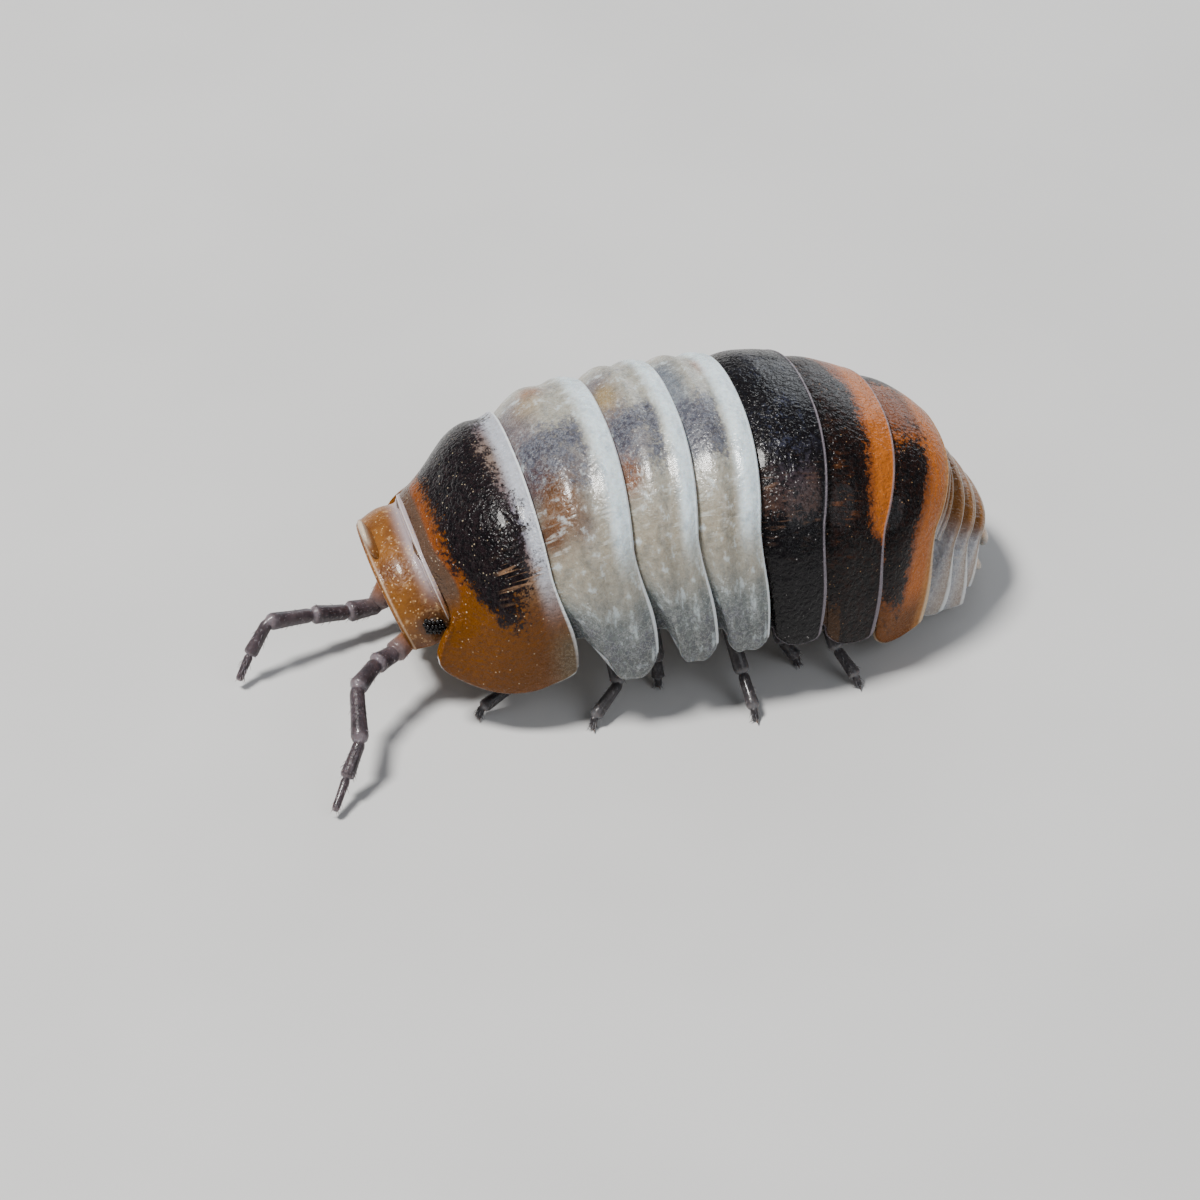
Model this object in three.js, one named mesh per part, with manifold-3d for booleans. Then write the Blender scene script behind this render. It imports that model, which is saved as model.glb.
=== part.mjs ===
// A pill woodlouse standing on its legs, at life size, as a still museum model.
// Millimetres. Head towards -Y, tail towards +Y, the animal's left side towards +X, floor at Z = 0.
// The armour is a row of arched plates, each tucked under the rear edge of the one before it.
// Every plate is a shell between two arches, and an arch is a leaning superellipse over the body.
import * as THREE from "three";
import { mergeVertices } from "three/addons/utils/BufferGeometryUtils.js";
import Module from "manifold-3d";

const wasm = await Module();
wasm.setup();

// Driving dimensions
const GAP = 0.22; // between pieces that touch in life
const PLATE = 0.5; // thickness of a plate in its middle
const PLATE_EDGE = 0.3; // thickness at its rear edge
const TUCK = 0.4; // how far a plate's front edge runs under the plate before it
const ROUNDNESS = 2.3; // exponent of the arches: 2 is an ellipse, more is squarer
const FLARE_FROM = 0.6; // share of an arch's half, from the ridge down, where the side plate starts to sweep back
const ARCH_STEPS = 24; // facets across a thorax plate, from side to side
const BELLY_INSET = 1.32; // from the arches' outline to the soft body under the plates
const LEG_SIDES = 8;
const FOOT_RADIUS = 0.2;

// One arch: where its base stands, how far its top leans forward in degrees, its half width and height,
// how far the corners of its side plates sweep back, and how far its flanks bow back.
const arch = (y, z, lean, halfWidth, height, sweep = 0, bow = 0) => ({ y, z, lean, halfWidth, height, sweep, bow });

// The head's two arches, then the front edge of the first thorax plate, which clasps the head.
const HEAD_REAR = arch(2.75, 2.4, 19, 2.72, 2.38);
const HEAD_FRONT = arch(1.5, 2.0, 22, 2.5, 2.15);
const COLLAR = arch(1.95, 2.15, -5, 3.5, 2.65, 0, 0.55);

// Rear edges of the seven thorax plates. lobe is how far the side plate hangs below the arch's foot,
// notch is how much of its front lower corner is missing, and bulge is how far it stands out between
// its edges.
const THORAX = [
  { rear: arch(5.35, 1.95, 5, 4.6, 4.7, 0.65), lobe: 0.8, notch: 0, bulge: 0 },
  { rear: arch(7.15, 2.35, -5, 4.75, 4.95, 1.1), lobe: 0.75, notch: 0.32, bulge: 0.26 },
  { rear: arch(8.7, 2.5, -10, 4.85, 5.1, 1.2), lobe: 0.6, notch: 0.25, bulge: 0.14 },
  { rear: arch(10.4, 2.4, -12, 4.85, 5.15, 0.95), lobe: 0.5, notch: 0.12, bulge: 0.07 },
  { rear: arch(11.95, 2.25, -18, 4.85, 5.2, 0.95), lobe: 0.4, notch: 0.05, bulge: 0.05 },
  { rear: arch(13.3, 2.1, -31, 4.55, 4.8, 1.4), lobe: 0.45, notch: 0.05, bulge: 0.0 },
  { rear: arch(15.0, 2.0, -42, 3.7, 3.85, 1.65), lobe: 0.6, notch: 0.05, bulge: 0.1 },
];

// Rear edges of the five tail plates. The first two have no side plates.
const TAIL = [
  { rear: arch(15.3, 1.85, -43, 3.35, 3.5, 0.3), lobe: 0, notch: 0, reach: 0.66 },
  { rear: arch(15.6, 1.7, -44, 3.1, 3.2, 0.3), lobe: 0, notch: 0, reach: 0.66 },
  { rear: arch(16.05, 1.55, -45, 3.2, 2.95, 1.35), lobe: 0.5, notch: 0.1, reach: 1 },
  { rear: arch(16.8, 1.75, -54, 2.75, 2.15, 1.6), lobe: 0.35, notch: 0.1, reach: 1 },
  { rear: arch(17.6, 1.9, -68, 2.25, 1.4, 1.3), lobe: 0.25, notch: 0.1, reach: 1 },
];

// Left feet on the floor, front to back. The right ones mirror them, each a little further on.
const FEET = [
  { x: 3.55, y: 3.0, shinY: 4.3, hipY: 4.5 },
  { x: 4.85, y: 6.0, shinY: 7.0, hipY: 6.5 },
  { x: 3.5, y: 8.3, shinY: 8.3, hipY: 8.0 },
  { x: 5.7, y: 10.55, shinY: 10.5, hipY: 9.6 },
  { x: 3.6, y: 12.4, shinY: 12.0, hipY: 11.1 },
  { x: 5.0, y: 13.8, shinY: 13.4, hipY: 12.5 },
  { x: 2.6, y: 14.8, shinY: 14.4, hipY: 13.8 },
];
const RIGHT_STRIDE = [0.35, -0.3, 0.25, -0.25, 0.2, -0.2, 0.1];

// Joints of the two long feelers from the socket to the tip, and the thickness of each article.
const LEFT_FEELER = [
  [1.7, 1.75, 2.05],
  [2.5, 0.85, 1.98],
  [2.95, 0.24, 2.08],
  [3.8, -0.51, 2.03],
  [5.4, -0.8, 1.43],
  [6.05, -1.36, 0.76],
  [6.8, -1.87, 0.3],
];
const RIGHT_FEELER = [
  [-1.4, 1.75, 2.0],
  [-1.05, 1.2, 0.95],
  [-0.85, 0.25, 1.05],
  [-0.6, -0.83, 1.35],
  [-0.25, -2.19, 1.63],
  [0.1, -2.83, 0.83],
  [0.5, -3.25, 0.3],
];
const FEELER_RADII = [0.36, 0.34, 0.34, 0.3, 0.25, 0.2];
const FEELER_TIP = 0.13;
const LEG_RADII = [0.32, 0.32, 0.29, 0.26, 0.22];

// The left eye: its middle, its half sizes, how far it is turned in degrees, and the slit round it.
const EYE = { x: 2.6, y: 1.98, z: 2.85, half: [0.26, 0.42, 0.32], turn: 25, slit: 0.1 };

// Flat pieces as stations of [x, y, z, half width, half thickness, tilt in degrees].
// A tilt of 0 faces up and 90 faces back.
const FOREHEAD_SHIELD = [
  [0, 1.0, 3.9, 0.85, 0.2, 65],
  [0, 0.72, 4.2, 0.8, 0.18, 65],
  [0, 0.6, 4.48, 0.6, 0.14, 65],
];
const TAIL_SHIELD = [
  [0, 18.35, 1.85, 0.85, 0.2, 55],
  [0, 18.8, 1.45, 0.8, 0.22, 68],
  [0, 19.0, 1.0, 0.6, 0.22, 80],
  [0, 19.04, 0.55, 0.42, 0.18, 88],
];
const TAIL_FOOT = [
  [1.5, 17.95, 1.45, 0.3, 0.2, 55],
  [1.45, 18.3, 1.1, 0.36, 0.22, 65],
  [1.25, 18.55, 0.65, 0.3, 0.18, 78],
];

// Breathing flaps: pairs in a row along the belly, the first at FLAPS_FROM, one FLAP_STEP apart.
const FLAP_PAIRS = 4;
const FLAPS_FROM = 14.5;
const FLAP_STEP = 0.72;
const FLAP_TILT = 15;

const radians = THREE.MathUtils.degToRad;
const mix = (a, b, t) => a + (b - a) * t;
const ease = (t) => {
  const s = THREE.MathUtils.clamp(t, 0, 1);
  return s * s * (3 - 2 * s);
};

// The arch a share t of the way from arch a to arch b.
function between(a, b, t) {
  const made = {};
  for (const key of Object.keys(a)) made[key] = mix(a[key], b[key], t);
  return made;
}

// The point of an arch at v, from -1 at the right foot over 0 at the ridge to 1 at the left foot.
// inset is the depth under the outline, drop lowers the foot, and back moves the point towards the tail.
function archPoint(a, v, inset = 0, drop = 0, back = 0) {
  const angle = (v * Math.PI) / 2;
  const power = 2 / ROUNDNESS;
  const side = Math.sign(v) * (a.halfWidth - inset) * Math.abs(Math.sin(angle)) ** power;
  const low = ease((Math.abs(v) - FLARE_FROM) / (1 - FLARE_FROM));
  const up = (a.height - inset) * Math.abs(Math.cos(angle)) ** power - drop * low;
  const flank = Math.sin(Math.PI * THREE.MathUtils.clamp((Math.abs(v) - 0.15) / 0.85, 0, 1)) ** 2;
  const sweep = a.sweep * Math.max(0, (Math.abs(v) - FLARE_FROM) / (1 - FLARE_FROM)) ** 1.5 + a.bow * flank + back;
  const lean = radians(a.lean);
  return new THREE.Vector3(
    side,
    a.y - up * Math.sin(lean) + sweep * Math.cos(lean),
    a.z + up * Math.cos(lean) + sweep * Math.sin(lean),
  );
}

const middle = (points) =>
  points.reduce((sum, p) => sum.add(p), new THREE.Vector3()).divideScalar(points.length);

// A closed body from rings of points, each ring closed, with a flat cap on each end.
function loft(rings) {
  const points = rings.flat();
  const count = rings[0].length;
  const faces = [];
  for (let i = 0; i + 1 < rings.length; i++)
    for (let j = 0; j < count; j++) {
      const a = i * count + j;
      const b = i * count + ((j + 1) % count);
      faces.push(a, b, a + count, b, b + count, a + count);
    }
  const caps = [
    [0, middle(rings[0])],
    [(rings.length - 1) * count, middle(rings[rings.length - 1])],
  ];
  for (const [start, cap] of caps) {
    points.push(cap);
    const centre = points.length - 1;
    for (let j = 0; j < count; j++) {
      const a = start + j;
      const b = start + ((j + 1) % count);
      if (start === 0) faces.push(centre, b, a);
      else faces.push(centre, a, b);
    }
  }
  return facingOut(solidGeometry(points, faces));
}

function solidGeometry(points, faces) {
  const geometry = new THREE.BufferGeometry();
  geometry.setAttribute("position", new THREE.Float32BufferAttribute(points.flatMap((p) => p.toArray()), 3));
  geometry.setIndex(faces);
  return geometry;
}

// Turns the faces round when the body was made inside out.
function facingOut(geometry) {
  const at = geometry.attributes.position;
  const index = geometry.index.array;
  const [a, b, c] = [new THREE.Vector3(), new THREE.Vector3(), new THREE.Vector3()];
  let volume = 0;
  for (let i = 0; i < index.length; i += 3) {
    a.fromBufferAttribute(at, index[i]);
    b.fromBufferAttribute(at, index[i + 1]);
    c.fromBufferAttribute(at, index[i + 2]);
    volume += a.dot(b.cross(c));
  }
  if (volume < 0)
    for (let i = 0; i < index.length; i += 3)
      [index[i + 1], index[i + 2]] = [index[i + 2], index[i + 1]];
  return geometry;
}

// Joining and cutting
const toSolid = (geometry) => {
  const bare = geometry.clone();
  for (const name of ["normal", "uv"]) bare.deleteAttribute(name);
  const merged = mergeVertices(bare, 1e-4);
  return new wasm.Manifold(
    new wasm.Mesh({
      numProp: 3,
      vertProperties: merged.attributes.position.array,
      triVerts: new Uint32Array(merged.index.array),
    }),
  );
};

const toGeometry = (solid) => {
  const mesh = solid.getMesh();
  const geometry = new THREE.BufferGeometry();
  geometry.setAttribute("position", new THREE.BufferAttribute(mesh.vertProperties, 3));
  geometry.setIndex(new THREE.BufferAttribute(mesh.triVerts, 1));
  return geometry;
};

// Joins solids and keeps the largest closed body.
function fuse(geometries) {
  const joined = geometries.map(toSolid).reduce((a, b) => a.add(b));
  const bodies = joined.decompose().sort((a, b) => b.volume() - a.volume());
  return toGeometry(bodies[0]);
}

// Cuts a tool out of a solid and keeps the largest closed body.
function cut(geometry, tool) {
  const bodies = toSolid(geometry).subtract(toSolid(tool)).decompose();
  return toGeometry(bodies.sort((a, b) => b.volume() - a.volume())[0]);
}

// Materials
const paint = (color, roughness = 0.35) => new THREE.MeshStandardMaterial({ color, roughness, metalness: 0 });
const AMBER = paint(0xb4691f);
const DARK = paint(0x2a1d22, 0.3);
const MILK = paint(0xc9cdc6, 0.3);
const ORANGE = paint(0xb5611c, 0.3);
const GLASSY = paint(0xb9bcc0, 0.25);
const GREY = paint(0x6f6a72, 0.35);
const FLESH = paint(0xa79b8c, 0.5);
const BLACK = paint(0x0b0a0d, 0.15);

const woodlouse = new THREE.Group();
woodlouse.name = "woodlouse";
function add(name, geometry, material, parent = woodlouse) {
  const mesh = new THREE.Mesh(geometry, material);
  mesh.name = name;
  parent.add(mesh);
  return mesh;
}

// Armour plates.
// Each profile row: share of the way from the front arch to the rear arch, depth under the outline,
// and thickness. The rear band stands up behind a shallow furrow.
const HIDDEN = PLATE_EDGE + GAP; // depth of a front edge under the plate before it
const PLATE_PROFILE = [
  [0.0, HIDDEN + 0.04, 0.36],
  [0.16, 0.22, PLATE - 0.06],
  [0.38, 0.0, PLATE],
  [0.64, 0.1, PLATE],
  [0.8, -0.02, PLATE],
  [1.0, 0.02, PLATE_EDGE],
];
const FIRST_PROFILE = [
  [0.0, 0.05, 0.38],
  [0.15, -0.1, PLATE],
  [0.4, -0.38, PLATE],
  [0.65, -0.32, PLATE],
  [0.84, -0.08, 0.38],
  [1.0, 0.02, PLATE_EDGE],
];
const TAIL_PROFILE = [
  [0.0, HIDDEN + 0.05, 0.28],
  [0.3, 0.32, 0.3],
  [0.65, 0.02, 0.32],
  [1.0, 0.02, 0.26],
];

// A shell from arch to arch, v running from -reach to reach.
// follow is the share of the corner's sweep that the next plate's front edge follows.
function plate({ front, rear, lobe, notch, bulge = 0, follow = 1, ...shape }) {
  const { reach = 1, steps = ARCH_STEPS, tuck = TUCK, profile = PLATE_PROFILE } = shape;
  const start = { ...front, sweep: front.sweep * follow };
  const rows = profile.map(([t, depth, thickness]) => {
    const hump = Math.sin(Math.PI * t) ** 0.7;
    return { a: between(start, rear, t), t, inset: depth - bulge * hump, thickness, back: 0 };
  });
  const [, inset, thickness] = profile[0];
  if (tuck > 0) rows.unshift({ a: start, t: 0, inset: inset + 0.14, thickness: thickness - 0.04, back: -tuck });
  const rings = rows.map((row) => {
    const t = (row.t - notch) / (1 - notch);
    const drop = t > 0 ? lobe * Math.sqrt(Math.max(0, 1 - (2 * t - 1) ** 2)) : (lobe * t * (1 - notch)) / 0.3;
    const ring = [];
    for (let k = 0; k <= steps; k++)
      ring.push(archPoint(row.a, mix(-reach, reach, k / steps), row.inset, drop, row.back));
    for (let k = steps; k >= 0; k--)
      ring.push(archPoint(row.a, mix(-reach, reach, k / steps), row.inset + row.thickness, drop, row.back));
    return ring;
  });
  return shellFromRings(rings);
}

// Joins rings whose points run out along the top and back along the underside, and closes both ends
// with a strip between the two rows, so that top and underside have the same triangles.
function shellFromRings(rings) {
  const count = rings[0].length;
  const points = rings.flat();
  const faces = [];
  for (let i = 0; i + 1 < rings.length; i++)
    for (let j = 0; j < count; j++) {
      const a = i * count + j;
      const b = i * count + ((j + 1) % count);
      const across = j < count / 2;
      if (across) faces.push(a, b, a + count, b, b + count, a + count);
      else faces.push(a, b, b + count, a, b + count, a + count);
    }
  for (const start of [0, (rings.length - 1) * count])
    for (let j = 0; j + 1 < count / 2; j++) {
      const quad = [j, j + 1, count - 2 - j, count - 1 - j].map((n) => start + n);
      const [a, b, c, d] = start === 0 ? quad.slice().reverse() : quad;
      faces.push(a, b, c, a, c, d);
    }
  return facingOut(solidGeometry(points, faces));
}

// A ring round a solid body: along an arch and back along its underside, which bulges down.
function bodyRing(a, inset, reach, bulge, steps = 18, under = 6) {
  const ring = [];
  for (let k = 0; k <= steps; k++) ring.push(archPoint(a, mix(-reach, reach, k / steps), inset));
  const [first, last] = [ring[0], ring[steps]];
  for (let k = 1; k < under; k++) {
    const p = last.clone().lerp(first, k / under);
    p.z -= bulge * Math.sin((Math.PI * k) / under);
    ring.push(p);
  }
  return ring;
}

// A round bar through points, radii given at each point.
function bar(points, radii, sides, reference = new THREE.Vector3(0, 1, 0.02)) {
  const rings = points.map((p, i) => {
    const before = points[Math.max(0, i - 1)];
    const after = points[Math.min(points.length - 1, i + 1)];
    const along = after.clone().sub(before).normalize();
    const u = reference.clone().cross(along).normalize();
    const w = along.clone().cross(u);
    const ring = [];
    for (let k = 0; k < sides; k++) {
      const angle = (2 * Math.PI * (k + 0.5)) / sides;
      ring.push(
        p
          .clone()
          .addScaledVector(u, radii[i] * Math.cos(angle))
          .addScaledVector(w, radii[i] * Math.sin(angle)),
      );
    }
    return ring;
  });
  return loft(rings);
}

// A jointed limb: each article swells towards its far end and the next one starts narrower.
function limb(joints, radii, tipRadius, reference) {
  const points = [];
  const sizes = [];
  for (let i = 0; i + 1 < joints.length; i++) {
    const last = i + 2 === joints.length;
    points.push(joints[i].clone().lerp(joints[i + 1], i ? 0.1 : 0), joints[i].clone().lerp(joints[i + 1], 0.86));
    sizes.push(radii[i] * 0.88, last ? tipRadius * 1.15 : radii[i]);
  }
  points.push(joints[joints.length - 1]);
  sizes.push(tipRadius);
  return bar(points, sizes, LEG_SIDES, reference);
}

// A flat piece through stations. side is -1 for the mirrored piece on the right.
function slab(stations, side = 1, sides = 10) {
  const rings = stations.map(([x, y, z, halfWidth, halfThick, tilt]) => {
    const t = radians(tilt);
    const ring = [];
    for (let k = 0; k < sides; k++) {
      const angle = (2 * Math.PI * k) / sides;
      const across = halfWidth * Math.sign(Math.cos(angle)) * Math.abs(Math.cos(angle)) ** 0.7;
      const up = halfThick * Math.sign(Math.sin(angle)) * Math.abs(Math.sin(angle)) ** 0.7;
      ring.push(new THREE.Vector3(side * x + across, y + up * Math.sin(t), z + up * Math.cos(t)));
    }
    return ring;
  });
  return loft(rings);
}

const ball = ([x, y, z], [rx, ry, rz], turn, rows = 8, columns = 12) =>
  new THREE.SphereGeometry(1, columns, rows).scale(rx, ry, rz).rotateX(radians(turn)).translate(x, y, z);

const SIDES = [
  ["left", 1],
  ["right", -1],
];
const vectors = (points) => points.map((p) => new THREE.Vector3(...p));

// Thorax and tail armour
let front = COLLAR;
const THORAX_PAINT = [DARK, MILK, MILK, MILK, DARK, DARK, ORANGE];
THORAX.forEach((edge, i) => {
  const shape = i === 0 ? { profile: FIRST_PROFILE, tuck: 0 } : { follow: i === 6 ? 0.95 : 1 };
  add(`thorax_plate_${i + 1}`, plate({ front, ...edge, ...shape }), THORAX_PAINT[i]);
  front = edge.rear;
});
TAIL.forEach((edge, i) => {
  const made = plate({ front, ...edge, steps: 18, tuck: 0, profile: TAIL_PROFILE, follow: 0.5 });
  add(`tail_plate_${i + 1}`, made, GLASSY);
  front = edge.rear;
});

// Tail end: a small shield with a flat tail foot on each side of it
add("tail_shield", slab(TAIL_SHIELD), GLASSY);
add("tail_foot_left", slab(TAIL_FOOT), GLASSY);
add("tail_foot_right", slab(TAIL_FOOT, -1), GLASSY);

// Soft body under the armour
const bellyArches = [between(COLLAR, THORAX[0].rear, 0.52)];
THORAX.forEach(({ rear }, i, all) => {
  if (i) bellyArches.push(between(all[i - 1].rear, rear, 0.55));
  bellyArches.push(rear);
});
bellyArches.push(TAIL[2].rear, TAIL[3].rear, TAIL[4].rear);
const bellyRings = bellyArches.map((a, i) => {
  const inset = i % 2 || i > 13 ? BELLY_INSET : BELLY_INSET - 0.3;
  const slim = i > 13 ? Math.min(1.15, a.height - 0.6) : inset;
  return bodyRing({ ...a, bow: 0, sweep: 0 }, slim, 0.84, i % 2 ? 0.05 : 0.22, 14, 6);
});
add("belly", loft(bellyRings), FLESH);

// Height of the belly's underside and the width of the arches at a place along the body.
function underAt(y) {
  const spots = bellyRings.map((ring) => ring[0]);
  let i = 0;
  while (i + 2 < spots.length && spots[i + 1].y < y) i++;
  const t = THREE.MathUtils.clamp((y - spots[i].y) / (spots[i + 1].y - spots[i].y), 0, 1);
  const a = between(bellyArches[i], bellyArches[i + 1], t);
  return { z: mix(spots[i].z, spots[i + 1].z, t), halfWidth: a.halfWidth, foot: a.z };
}

// Breathing flaps under the tail, in overlapping pairs
const flaps = [];
for (let k = 0; k < FLAP_PAIRS; k++) {
  const y = FLAPS_FROM + FLAP_STEP * k;
  const z = underAt(y).z - 2 * GAP - 0.28;
  const stations = [
    [0.5, y, z, 0.5, 0.16, FLAP_TILT],
    [0.52, y + 0.6, z - 0.12, 0.56, 0.16, FLAP_TILT],
    [0.46, y + 1.0, z - 0.26, 0.4, 0.12, FLAP_TILT],
  ];
  flaps.push(slab(stations), slab(stations, -1));
}
add("breathing_flaps", fuse(flaps), FLESH);

// Head
const headRings = [
  bodyRing(arch(3.15, 2.55, 14, 2.15, 1.75), 0, 1, 0.2),
  bodyRing(HEAD_REAR, 0.8, 1, 0.25),
  bodyRing(HEAD_REAR, 0.02, 1, 0.45),
  bodyRing(between(HEAD_REAR, HEAD_FRONT, 0.12), 0.0, 1, 0.5),
  bodyRing(between(HEAD_REAR, HEAD_FRONT, 0.22), 0.12, 1, 0.5),
  bodyRing(between(HEAD_REAR, HEAD_FRONT, 0.6), -0.04, 1, 0.4),
  bodyRing(HEAD_FRONT, 0.0, 1, 0.2),
  bodyRing({ ...HEAD_FRONT, y: HEAD_FRONT.y - 0.12, z: HEAD_FRONT.z - 0.05 }, 0.08, 1, 0.1),
  bodyRing({ ...HEAD_FRONT, y: HEAD_FRONT.y + 0.05, z: HEAD_FRONT.z - 0.15 }, 0.4, 1, 0.1),
  bodyRing({ ...HEAD_FRONT, y: HEAD_FRONT.y + 0.15, z: HEAD_FRONT.z - 0.3 }, 1.3, 1, 0.1),
];
let head = fuse([loft(headRings), slab(FOREHEAD_SHIELD)]);
for (const [side, s] of SIDES) {
  const at = [s * EYE.x, EYE.y, EYE.z];
  add(`eye_${side}`, ball(at, EYE.half, EYE.turn), BLACK);
  const socket = EYE.half.map((half) => half + EYE.slit);
  head = cut(head, ball(at, socket, EYE.turn));
}

// Feelers, each in a socket of the head
for (const [side, s] of SIDES) {
  const joints = vectors(s > 0 ? LEFT_FEELER : RIGHT_FEELER);
  const up = new THREE.Vector3(0, 0, 1);
  add(`feeler_${side}`, limb(joints, FEELER_RADII, FEELER_TIP, up), GREY);
  const deep = joints[0].clone().lerp(joints[1], -0.25);
  const socket = FEELER_RADII[0] + GAP;
  head = cut(head, bar([deep, joints[1].clone()], [socket, socket], 10, up));
}
add("head", head, AMBER);

// Mouthparts under the head
add(
  "mouthparts",
  fuse([
    ball([0, 2.3, 1.25], [0.75, 0.6, 0.4], 10, 6, 10),
    ball([0.4, 1.95, 1.2], [0.35, 0.42, 0.34], 20, 6, 8),
    ball([-0.4, 1.95, 1.2], [0.35, 0.42, 0.34], 20, 6, 8),
  ]),
  FLESH,
);

// Legs
FEET.forEach(({ x, y, shinY, hipY }, i) => {
  for (const [side, s] of SIDES) {
    const stride = s > 0 ? 0 : RIGHT_STRIDE[i];
    const { z: under, halfWidth, foot } = underAt(hipY);
    const knee = Math.min(halfWidth - 1.5, x - 0.4);
    const joints = vectors([
      [s * 1.3, hipY, under - GAP - 0.2],
      [s * 1.5, hipY, under - 0.85],
      [s * knee, mix(hipY, shinY, 0.7) + stride * 0.3, Math.min(foot - 0.2, under - 1.4)],
      [s * mix(knee, x, 0.5), shinY + stride * 0.6, 0.82],
      [s * x, y + stride, 0.28],
      [s * x, y + stride, 0],
    ]);
    add(`leg_${side}_${i + 1}`, limb(joints, LEG_RADII, FOOT_RADIUS), GLASSY);
  }
});

// The origin is on the floor under the middle of the whole animal, feelers included.
const whole = new THREE.Box3().setFromObject(woodlouse);
const centre = whole.getCenter(new THREE.Vector3());
woodlouse.position.set(-centre.x, -centre.y, -whole.min.z);

export default woodlouse;
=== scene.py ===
"""Looks of the pill woodlouse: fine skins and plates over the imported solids, in metres."""

import math
import random

import bpy
import numpy as np
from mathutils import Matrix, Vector


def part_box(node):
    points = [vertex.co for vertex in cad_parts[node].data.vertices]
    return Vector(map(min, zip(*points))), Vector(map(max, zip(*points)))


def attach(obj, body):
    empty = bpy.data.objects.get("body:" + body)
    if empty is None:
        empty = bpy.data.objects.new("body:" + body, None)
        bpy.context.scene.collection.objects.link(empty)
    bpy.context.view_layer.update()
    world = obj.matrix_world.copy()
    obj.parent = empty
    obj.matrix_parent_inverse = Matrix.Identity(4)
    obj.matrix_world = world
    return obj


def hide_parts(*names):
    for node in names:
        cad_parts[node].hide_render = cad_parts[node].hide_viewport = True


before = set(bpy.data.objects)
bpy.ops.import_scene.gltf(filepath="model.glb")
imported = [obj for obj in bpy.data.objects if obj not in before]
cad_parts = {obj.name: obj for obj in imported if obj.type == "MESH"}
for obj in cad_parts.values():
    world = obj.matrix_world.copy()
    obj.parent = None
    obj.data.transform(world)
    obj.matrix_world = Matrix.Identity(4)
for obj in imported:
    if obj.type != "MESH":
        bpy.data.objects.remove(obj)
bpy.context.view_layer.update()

MM = 0.001
SEED = 7
rng = random.Random(SEED)

# The shapes are in the solids' own millimetres: head towards -Y, left side +X, floor at Z = 0.
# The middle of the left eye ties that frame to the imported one.
EYE = np.array([2.6, 1.98, 2.85])
MIRROR = np.array([-1, 1, 1])
eye_low, eye_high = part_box("eye_left")
ORIGIN = EYE - (np.array(eye_low) + np.array(eye_high)) / 2 / MM

# An arch is a superellipse. Its foot flares from a share of the way down, its flank bows from another.
ROUNDNESS = 2.3
FLARE_FROM = 0.6
BOW_FROM = 0.15


def arch(y, z, lean, half_width, height, sweep=0.0, bow=0.0):
    return dict(y=y, z=z, lean=lean, half_width=half_width, height=height, sweep=sweep, bow=bow)


HEAD_REAR = arch(2.75, 2.4, 19, 2.72, 2.38)
HEAD_FRONT = arch(1.5, 2.0, 22, 2.5, 2.15)
COLLAR = arch(1.95, 2.15, -5, 3.5, 2.65, 0, 0.55)

# Rear edges of the thorax plates: arch, lobe, notch, bulge.
THORAX = [
    (arch(5.35, 1.95, 5, 4.6, 4.7, 0.65), 0.8, 0.0, 0.0),
    (arch(7.15, 2.35, -5, 4.75, 4.95, 1.1), 0.75, 0.32, 0.26),
    (arch(8.7, 2.5, -10, 4.85, 5.1, 1.2), 0.6, 0.25, 0.14),
    (arch(10.4, 2.4, -12, 4.85, 5.15, 0.95), 0.5, 0.12, 0.07),
    (arch(11.95, 2.25, -18, 4.85, 5.2, 0.95), 0.4, 0.05, 0.05),
    (arch(13.3, 2.1, -31, 4.55, 4.8, 1.4), 0.45, 0.05, 0.0),
    (arch(15.0, 2.0, -42, 3.7, 3.85, 1.65), 0.6, 0.05, 0.1),
]
# Rear edges of the tail plates: arch, lobe, notch, reach down the side.
TAIL = [
    (arch(15.3, 1.85, -43, 3.35, 3.5, 0.3), 0.0, 0.0, 0.66),
    (arch(15.6, 1.7, -44, 3.1, 3.2, 0.3), 0.0, 0.0, 0.66),
    (arch(16.05, 1.55, -45, 3.2, 2.95, 1.35), 0.5, 0.1, 1.0),
    (arch(16.8, 1.75, -54, 2.75, 2.15, 1.6), 0.35, 0.1, 1.0),
    (arch(17.6, 1.9, -68, 2.25, 1.4, 1.3), 0.25, 0.1, 1.0),
]

# Feet on the floor: x, y, shin y, hip y.
FEET = [
    (3.55, 3.0, 4.3, 4.5),
    (4.85, 6.0, 7.0, 6.5),
    (3.5, 8.3, 8.3, 8.0),
    (5.7, 10.55, 10.5, 9.6),
    (3.6, 12.4, 12.0, 11.1),
    (5.0, 13.8, 13.4, 12.5),
    (2.6, 14.8, 14.4, 13.8),
]
RIGHT_STRIDE = [0.35, -0.3, 0.25, -0.25, 0.2, -0.2, 0.1]
LEFT_FEELER = [
    (1.7, 1.75, 2.05),
    (2.5, 0.85, 1.98),
    (2.95, 0.24, 2.08),
    (3.8, -0.51, 2.03),
    (5.4, -0.8, 1.43),
    (6.05, -1.36, 0.76),
    (6.8, -1.87, 0.3),
]
RIGHT_FEELER = [
    (-1.4, 1.75, 2.0),
    (-1.05, 1.2, 0.95),
    (-0.85, 0.25, 1.05),
    (-0.6, -0.83, 1.35),
    (-0.25, -2.19, 1.63),
    (0.1, -2.83, 0.83),
    (0.5, -3.25, 0.3),
]


# Numbers
def rgb(r, g, b):
    """The linear colour of an 8-bit screen colour."""
    shares = [c / 255 for c in (r, g, b)]
    return np.array([s / 12.92 if s < 0.04045 else ((s + 0.055) / 1.055) ** 2.4 for s in shares])


def ramp(x, low, high):
    """A smooth rise from 0 at low to 1 at high, or a fall where low is the higher."""
    s = np.clip((x - low) / (high - low), 0, 1)
    return s * s * (3 - 2 * s)


def hill(x, middle, width):
    return np.exp(-(((x - middle) / width) ** 2))


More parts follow.
